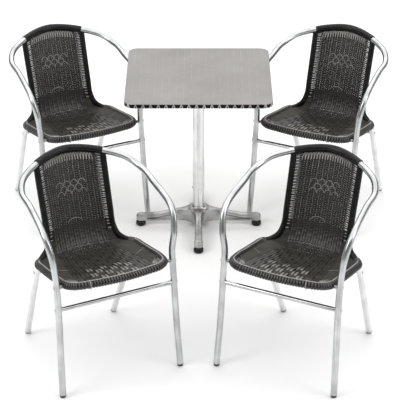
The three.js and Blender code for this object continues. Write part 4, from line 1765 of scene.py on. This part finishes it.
@dataclass
class WovenSeat:
    """The woven seat and back, strand by strand."""

    finishes: Finishes
    surface: SeatSurface = field(default_factory=SeatSurface)
    warps: int = 20
    pair_closeness: float = 0.48
    float_rows: tuple[tuple[float, float], ...] = ((2.0, 4.0), (1.0, 3.0))
    float_reach: float = 0.52
    float_rise: float = 0.25
    bend_reach: tuple[float, float] = (0.300, 0.398)
    bend_step: float = 0.5
    backing_pitch: float = 0.0145
    backing_end: float = 0.415
    panel_row: float = 0.016
    panel_begin: float = 2.6
    panel_skew: float = 3.2
    panel_pitch: float = 0.0052
    wrap_begin: float = 0.36
    wrap_reach: float = 0.52
    wrap_rows: int = 3
    wrap_pitch: float = 0.0112
    wrapped_until: float = 0.118
    wrapped_below: float = 0.45
    rim_radius: float = 0.0122
    cord_reach: float = 0.0142
    cord_radius: float = 0.0021
    tie_place: float = 0.115
    tie_radius: float = 0.0016
    lace_height: float = 0.025
    lace_drop: float = 4.0
    loops_from: float = 0.530
    loop_size: Range = (0.26, 3.8)
    loop_pitch: float = 0.29
    loop_rise: float = 4.4
    waist: float = 0.425
    waist_arch: Range = (0.55, 4.0)
    waist_left: float = -0.35

    def strand_place(self, pair: int, side: int) -> float:
        """Gives the place across of one strand of a pair, from the left edge of the first."""
        return (pair * 2 + 0.5 + side * self.pair_closeness) * 2 / self.warps

    def wefts(self) -> list[np.ndarray]:
        """Gives two neighbouring strands across the back, which pass opposite sides of each warp.

        Returns:
            The threads of one repeat.
        """
        half = 1 + self.surface.margin * 0.95
        x = np.linspace(-half, half, self.warps * 4 + 1)
        per_unit = self.warps / 4
        return [thread(x, row, np.cos(math.pi * (x * per_unit + (row + 0.5)))) for row in (0, 1)]

    def warp_pairs(self, last: float) -> list[np.ndarray]:
        """Gives two neighbouring pairs of strands along the seat and back, which float in turn.

        Args:
            last: Row at which they end.

        Returns:
            The threads of one repeat.
        """
        y = np.linspace(0.0, last, int(last * 8))
        lines = []
        for pair in (0, 1):
            height = np.cos(math.pi * (y + pair))
            lines += [thread(self.strand_place(pair, side), y, height) for side in (-1, 1)]
        return lines

    def floats(self) -> list[np.ndarray]:
        """Gives painted highlights on the tops of the float stretches of two pairs near the front edge.

        Returns:
            The threads of one repeat.
        """
        lines = []
        for pair, rows in enumerate(self.float_rows):
            for middle in rows:
                y = np.linspace(middle - self.float_reach, middle + self.float_reach, 9)
                height = np.cos(math.pi * (y + pair)) + self.float_rise
                lines += [thread(self.strand_place(pair, side), y, height) for side in (-1, 1)]
        return lines

    def bend_strands(self) -> list[np.ndarray]:
        """Gives painted highlight streaks, light strands laid along two neighbouring pairs in the bend
        between seat and back.

        Returns:
            The threads of one repeat.
        """
        first, last = (self.surface.row_of(along) for along in self.bend_reach)
        lines = []
        for pair, end in enumerate((last, last - self.bend_step)):
            rows = np.linspace(first - pair * self.bend_step, end, 24)
            lines.append(thread(self.strand_place(pair, -1), rows, 0.0))
        return lines

    def slant(self, width: float, height: float) -> np.ndarray:
        """Gives one strand that falls across a cell of the lace."""
        t = np.linspace(0, 1, 7)
        return thread(t * width, (1 - t) * height, -(np.sin(t * math.pi) * 0.8))

    def arch(self, width: float, height: float) -> np.ndarray:
        """Gives one arched strand."""
        t = np.linspace(0, math.pi, 13)
        return thread((1 - np.cos(t)) * width / 2, np.sin(t) * height, np.sin(t) * 0.5)

    def woven(
        self,
        loom: Loom,
        name: str,
        threads: list[np.ndarray],
        cane: Cane,
        material: bpy.types.Material,
        count: int = 1,
        step: Triple = (0.0, 0.0, 0.0),
        nodes: tuple[str, ...] = (),
    ) -> LocalPiece:
        """Lays threads as one piece of the weave.

        Args:
            loom: The loom with the seat's guide.
            name: Name of the piece.
            threads: The threads of one repeat.
            cane: The strand's section.
            material: Its material.
            count: Number of repeats.
            step: From one repeat to the next.
            nodes: CAD nodes that it is shown instead of.

        Returns:
            The piece, in the chair's own frame.
        """
        mesh = loom.lay(name, threads, cane, material, count, step)
        return LocalPiece(name, mesh, material, Slot.RATTAN_WEAVE, nodes)

    def main_strands(self, loom: Loom) -> list[LocalPiece]:
        """Lays the strands that fill the seat and the back.

        Args:
            loom: The loom with the seat's guide.

        Returns:
            The pieces, in the chair's own frame.
        """
        dress, surface = self.finishes, self.surface
        top = surface.rows - 1.0
        bend = math.floor(surface.row_of(surface.seat_end - 0.02))
        bend -= bend % 2
        wefts = shifted(self.wefts(), 0, bend)
        rows = int((top - bend) / 2)
        nodes = ("woven_shell",)
        made = [self.woven(loom, "back_wefts", wefts, BACK_WEFT, dress.weave, rows, (0, 2, 0), nodes)]

        # The wefts under the strips lie edge to edge in near-black, so the gaps of the weave show painted
        # shade instead of the floor.
        reach = 1 + surface.margin
        backing = [thread(np.linspace(-reach, reach, 40), 0.3, 0.0)]
        pitch = self.backing_pitch / surface.seat_pitch
        rows = int(surface.row_of(self.backing_end) / pitch)
        made.append(self.woven(loom, "seat_wefts", backing, BACKING, dress.backing, rows, (0, pitch, 0)))

        first, two_pairs, repeats = -1 + 1 / self.warps, 8 / self.warps, self.warps // 4
        step = (two_pairs, 0, 0)
        warps = shifted(self.warp_pairs(top + 0.6), first, 0.0)
        floats = shifted(self.floats(), first + two_pairs, 0.0)
        bend_highlights = shifted(self.bend_strands(), first, 0.0)
        made.append(self.woven(loom, "long_strips", warps, STRIP, dress.strip, repeats, step))
        # Painted highlights: light strands over the float tops near the front, and over the bend.
        made.append(self.woven(loom, "seat_floats", floats, FLOAT, dress.bright, repeats - 2, step))
        made.append(self.woven(loom, "bend_strands", bend_highlights, BEND, dress.wrap, repeats, step))
        return made

    def side_strands(self, loom: Loom) -> list[LocalPiece]:
        """Lays the wraps along the stiles and the panels at the sides of the seat.

        Args:
            loom: The loom with the seat's guide.

        Returns:
            The pieces, in the chair's own frame.
        """
        dress, surface = self.finishes, self.surface
        t = np.linspace(0, 1, 9)
        begin = 1 + surface.margin * self.wrap_begin
        row = surface.row_of(surface.back_start - 0.02)
        arc = np.sin(t * math.pi)
        x = begin + t * surface.margin * self.wrap_reach
        wraps = [thread(side * x, row, arc**0.5) for side in (-1, 1)]
        step = (0, self.wrap_rows, 0)
        count = int((surface.rows - 3 - row) / self.wrap_rows)
        made = [self.woven(loom, "edge_wraps", wraps, EDGE_WRAP, dress.cord, count, step)]

        unit_row = self.panel_row / surface.seat_pitch
        begin_row, skew = self.panel_begin * unit_row, self.panel_skew * unit_row
        rows = begin_row + skew * t
        panels = [thread(side * (1.0 + t * surface.margin), rows, 0.3 + arc) for side in (-1, 1)]
        pitch = self.panel_pitch / surface.seat_pitch
        count = int((surface.row_of(surface.back_start - 0.015) - begin_row - skew) / pitch)
        made.append(self.woven(loom, "side_panels", panels, PANEL, dress.panel, count, (0, pitch, 0)))
        return made

    def lace(self, loom: Loom) -> list[LocalPiece]:
        """Lays the laced band at the top and the plain arches in the back.

        Args:
            loom: The loom with the seat's guide.

        Returns:
            The pieces, in the chair's own frame.
        """
        dress, surface = self.finishes, self.surface
        rows = self.lace_height / surface.back_pitch
        cell = 2 / self.warps
        count = int(2.0 / cell) - 1
        start = surface.rows - rows - self.lace_drop
        made = []
        # Painted highlight: the arched strands of the lace take the light cord colour, and the slanted ones
        # under them stay dark.
        for name, line, finish in (
            ("top_lace", self.arch(cell * 0.9, rows), dress.cord),
            ("top_under_lace", self.slant(cell * 1.1, rows), dress.strip),
        ):
            threads = shifted([line], -0.98, start)
            made.append(self.woven(loom, name, threads, LACE, finish, count, (cell, 0, 0)))

        loops = []
        low = surface.row_of(self.loops_from)
        for level in range(3):
            for place in range(4 - level % 2):
                left = -2 * self.loop_pitch + (place + level % 2 / 2) * self.loop_pitch
                loops += shifted([self.arch(*self.loop_size)], left, low + level * self.loop_rise)
        loops += shifted([self.arch(*self.waist_arch)], self.waist_left, surface.row_of(self.waist))
        made.append(self.woven(loom, "back_loops", loops, LOOP, dress.lace))
        return made

    def corners(self, loom: Loom) -> list[LocalPiece]:
        """Lays the fans at the seat's front corners and the ties across its side panels.

        Args:
            loom: The loom with the seat's guide.

        Returns:
            The pieces, in the chair's own frame.
        """
        t = np.linspace(0, 1, 8)[:, None]
        rim = 1 + self.surface.margin
        apex = np.array([0.99, 2.5, 0.0])
        spokes = [(rim, row, 0.0) for row in (4.6, 3.7, 2.8, 1.9, 0.9)] + [(1.12, 0.0, 0.0)]
        round_rim = np.array([(rim, 4.4, 0.6), (rim, 2.8, 0.6), (rim, 1.2, 0.6), (1.1, 0.0, 0.6)])
        half_fan = [apex + (np.array(end) - apex) * t for end in spokes]
        half_fan += [apex + (round_rim - apex) * reach for reach in (0.45, 0.8)]
        borders = np.array([[[1.0, 9.6, 1.0], [rim, 12.8, 1.0]], [[1.0, 2.45, 0.6], [rim, 5.65, 0.6]]])
        half_ties = [ends[:1] + (ends[1:] - ends[:1]) * t for ends in borders]
        scale = np.array([1.0, self.panel_row / self.surface.seat_pitch, 1.0])
        fan, ties = (
            [line * (side, 1, 1) * scale for side in (-1, 1) for line in half]
            for half in (half_fan, half_ties)
        )
        dress = self.finishes
        return [
            # The fans are drawn in the painted highlight colour of the float tops.
            self.woven(loom, "corner_fans", fan, FAN, dress.bright),
            self.woven(loom, "panel_ties", ties, TIE, dress.lace),
        ]

    def rim_pieces(self, tree: bpy.types.GeometryNodeTree) -> list[LocalPiece]:
        """Wraps the seat's rim and lays the cord along its top.

        Args:
            tree: The strand tree.

        Returns:
            The pieces, in the chair's own frame.
        """
        line = frame_line(16)
        wrapped = line[(line[:, 1] < self.wrapped_until) & (line[:, 2] < self.wrapped_below)]
        normals, binormals = frames_along(wrapped, Vector((0.0, 0.0, 1.0)))
        angles = np.linspace(-math.pi / 2, 1.5 * math.pi, 25)
        grid = wrapped[:, None] + rings_round(angles, normals, binormals) * self.rim_radius
        length = lengths_along(wrapped)[-1]
        rows = length / self.wrap_pitch
        flat = np.zeros(len(wrapped))
        guide = Guide("rim_guide", grid, 1.0, rows, flat, flat + 1)
        turn = thread(np.linspace(-0.999, 0.999, 25), np.linspace(0.1, 0.5, 25), 0.0)
        wrap, cord = self.finishes.wrap, self.finishes.cord
        mesh = Loom(guide, tree).lay("rim_wraps", [turn], RIM_WRAP, wrap, int(rows - 0.5), (0, 1, 0))
        made = [LocalPiece("rim_wraps", mesh, wrap, Slot.WRAPPED_RIM)]
        outward = np.array([0.0, 0.0, 1.0])
        inward = unit(np.array([0.0, -0.03, 0.0]) - wrapped * (1, 1, 0)) * 0.30
        cord_line = wrapped + unit(outward + inward) * self.cord_reach
        mesh = tube_mesh("rim_cord", cord_line[10:-10], self.cord_radius, 10)
        made.append(LocalPiece("rim_cord", mesh, cord, Slot.WRAPPED_RIM))
        for side in (-1, 1):
            far = np.abs(wrapped[:, 0] - side * self.tie_place) + (wrapped[:, 1] > -0.15)
            near = int(np.argmin(far))
            round_rim = grid[near] + (grid[near] - wrapped[near]) * 0.33
            mesh = tube_mesh("rim_tie", round_rim, self.tie_radius, 8)
            made.append(LocalPiece("rim_tie", mesh, cord, Slot.WRAPPED_RIM, only_on=side))
        guide.remove()
        return made

    def pieces(self, tree: bpy.types.GeometryNodeTree) -> list[LocalPiece]:
        """Builds the woven seat and back and their wrapped rim.

        Args:
            tree: The strand tree.

        Returns:
            The pieces, in the chair's own frame.
        """
        guide = self.surface.guide()
        loom = Loom(guide, tree)
        made = self.main_strands(loom) + self.side_strands(loom) + self.lace(loom) + self.corners(loom)
        guide.remove()
        return made + self.rim_pieces(tree)


@dataclass
class ChairSet:
    """Four copies of one chair round the table."""

    finishes: Finishes
    table_middle: Vector
    yaw: float = math.radians(27)
    back_place: tuple[float, float] = (0.524, 0.164)
    front_place: tuple[float, float] = (0.370, -1.076)

    def places(self) -> dict[str, Matrix]:
        """Gives each chair's place by the name of its body.

        Returns:
            The places.
        """
        made = {}
        for row, (x, y) in (("back", self.back_place), ("front", self.front_place)):
            for label, side in (("left", -1), ("right", 1)):
                spot = self.table_middle + Vector((side * x, y, 0.0))
                turn = Matrix.Rotation(-side * self.yaw, 4, "Z")
                made[f"chair_{row}_{label}"] = Matrix.Translation(spot) @ turn
        return made

    def build(self) -> None:
        """Builds the chair's pieces once and sets a copy of each in every place."""
        strands = strand_tree()
        pieces = ChairFrame(self.finishes).pieces(stud_tree()) + WovenSeat(self.finishes).pieces(strands)
        for body, place in self.places().items():
            side = -1 if body.endswith("left") else 1
            for piece in (each for each in pieces if each.only_on in (0, side)):
                mesh = piece.mesh.copy()
                mesh.transform(place)
                nodes = tuple(f"{body}_{node}" for node in piece.stands_for)
                add_piece(f"{body}.{piece.name}", mesh, piece.material, body, nodes)
        for piece in pieces:
            bpy.data.meshes.remove(piece.mesh)


# ------------------------------------------------------------------ studio
@dataclass(frozen=True)
class Lamp:
    """One soft square light: its place and aim, its side in metres and its power in watts."""

    name: str
    place: Triple
    size: float
    power: float
    aim: Triple = (0.0, 0.0, 0.35)


LAMPS = (
    Lamp("overhead", (0.0, 0.9, 5.2), 12.0, 660.0, (0.0, 0.9, 0.0)),
    Lamp("card", (0.0, 6.5, 4.4), 6.0, 85.0),
    Lamp("key", (-3.6, -2.4, 3.0), 2.2, 60.0),
    Lamp("fill", (3.8, -2.0, 2.4), 2.2, 45.0),
)


@dataclass
class Studio:
    """Camera, floor and soft lights."""

    table_middle: Vector
    aim: Vector = field(default_factory=lambda: Vector((0.006, -0.518, 0.38)))
    distance: float = 7.0
    pitch: float = math.radians(26.8)
    lens: float = 158.4
    floor_size: float = 60.0
    floor_grey: float = 0.92
    world_grey: float = 0.5
    world_strength: float = 0.5

    def make_camera(self) -> None:
        """Sets the camera at its viewing angle."""
        data = bpy.data.cameras.new("camera")
        data.lens = self.lens
        data.sensor_width = 36.0
        data.clip_end = 200.0
        camera = bpy.data.objects.new("camera", data)
        back = Vector((0.0, -math.cos(self.pitch), math.sin(self.pitch))) * self.distance
        camera.location = self.table_middle + self.aim + back
        camera.rotation_euler = (math.pi / 2 - self.pitch, 0.0, 0.0)
        bpy.context.scene.collection.objects.link(camera)
        bpy.context.scene.camera = camera

    def make_floor(self) -> None:
        """Lays the plain pale floor."""
        half = self.floor_size / 2
        corners = [(-half, -half, 0), (half, -half, 0), (half, half, 0), (-half, half, 0)]
        mesh = bpy.data.meshes.new("floor")
        mesh.from_pydata(corners, [], [(0, 1, 2, 3)])
        floor = bpy.data.objects.new("floor", mesh)
        material = bpy.data.materials.new("pale_floor")
        material.use_nodes = True
        shader = material.node_tree.nodes["Principled BSDF"]
        shader.inputs["Base Color"].default_value = (*grey(self.floor_grey), 1.0)
        shader.inputs["Roughness"].default_value = 0.9
        mesh.materials.append(material)
        bpy.context.scene.collection.objects.link(floor)

    def make_light(self, lamp: Lamp) -> None:
        """Hangs one light.

        Args:
            lamp: The light's place, aim, size and power.
        """
        data = bpy.data.lights.new(lamp.name, "AREA")
        data.size = lamp.size
        data.energy = lamp.power
        light = bpy.data.objects.new(lamp.name, data)
        light.location = lamp.place
        light.rotation_euler = (Vector(lamp.aim) - Vector(lamp.place)).to_track_quat("-Z", "Y").to_euler()
        bpy.context.scene.collection.objects.link(light)

    def make_world(self) -> None:
        """Fills the room with even grey light."""
        world = bpy.data.worlds.new("studio")
        world.use_nodes = True
        back = world.node_tree.nodes["Background"]
        back.inputs["Color"].default_value = (*grey(self.world_grey), 1.0)
        back.inputs["Strength"].default_value = self.world_strength
        bpy.context.scene.world = world

    def build(self) -> None:
        """Sets up the whole studio."""
        self.make_camera()
        self.make_floor()
        self.make_world()
        for lamp in LAMPS:
            self.make_light(lamp)
        bpy.context.scene.view_settings.view_transform = "Standard"


def main() -> None:
    """Builds the set and its studio in order."""
    logging.basicConfig(level=logging.INFO, format="%(message)s")
    finishes = Finishes()
    table = Table(finishes)
    Studio(table.middle).build()
    table.build()
    ChairSet(finishes, table.middle).build()


if __name__ == "__main__":
    main()
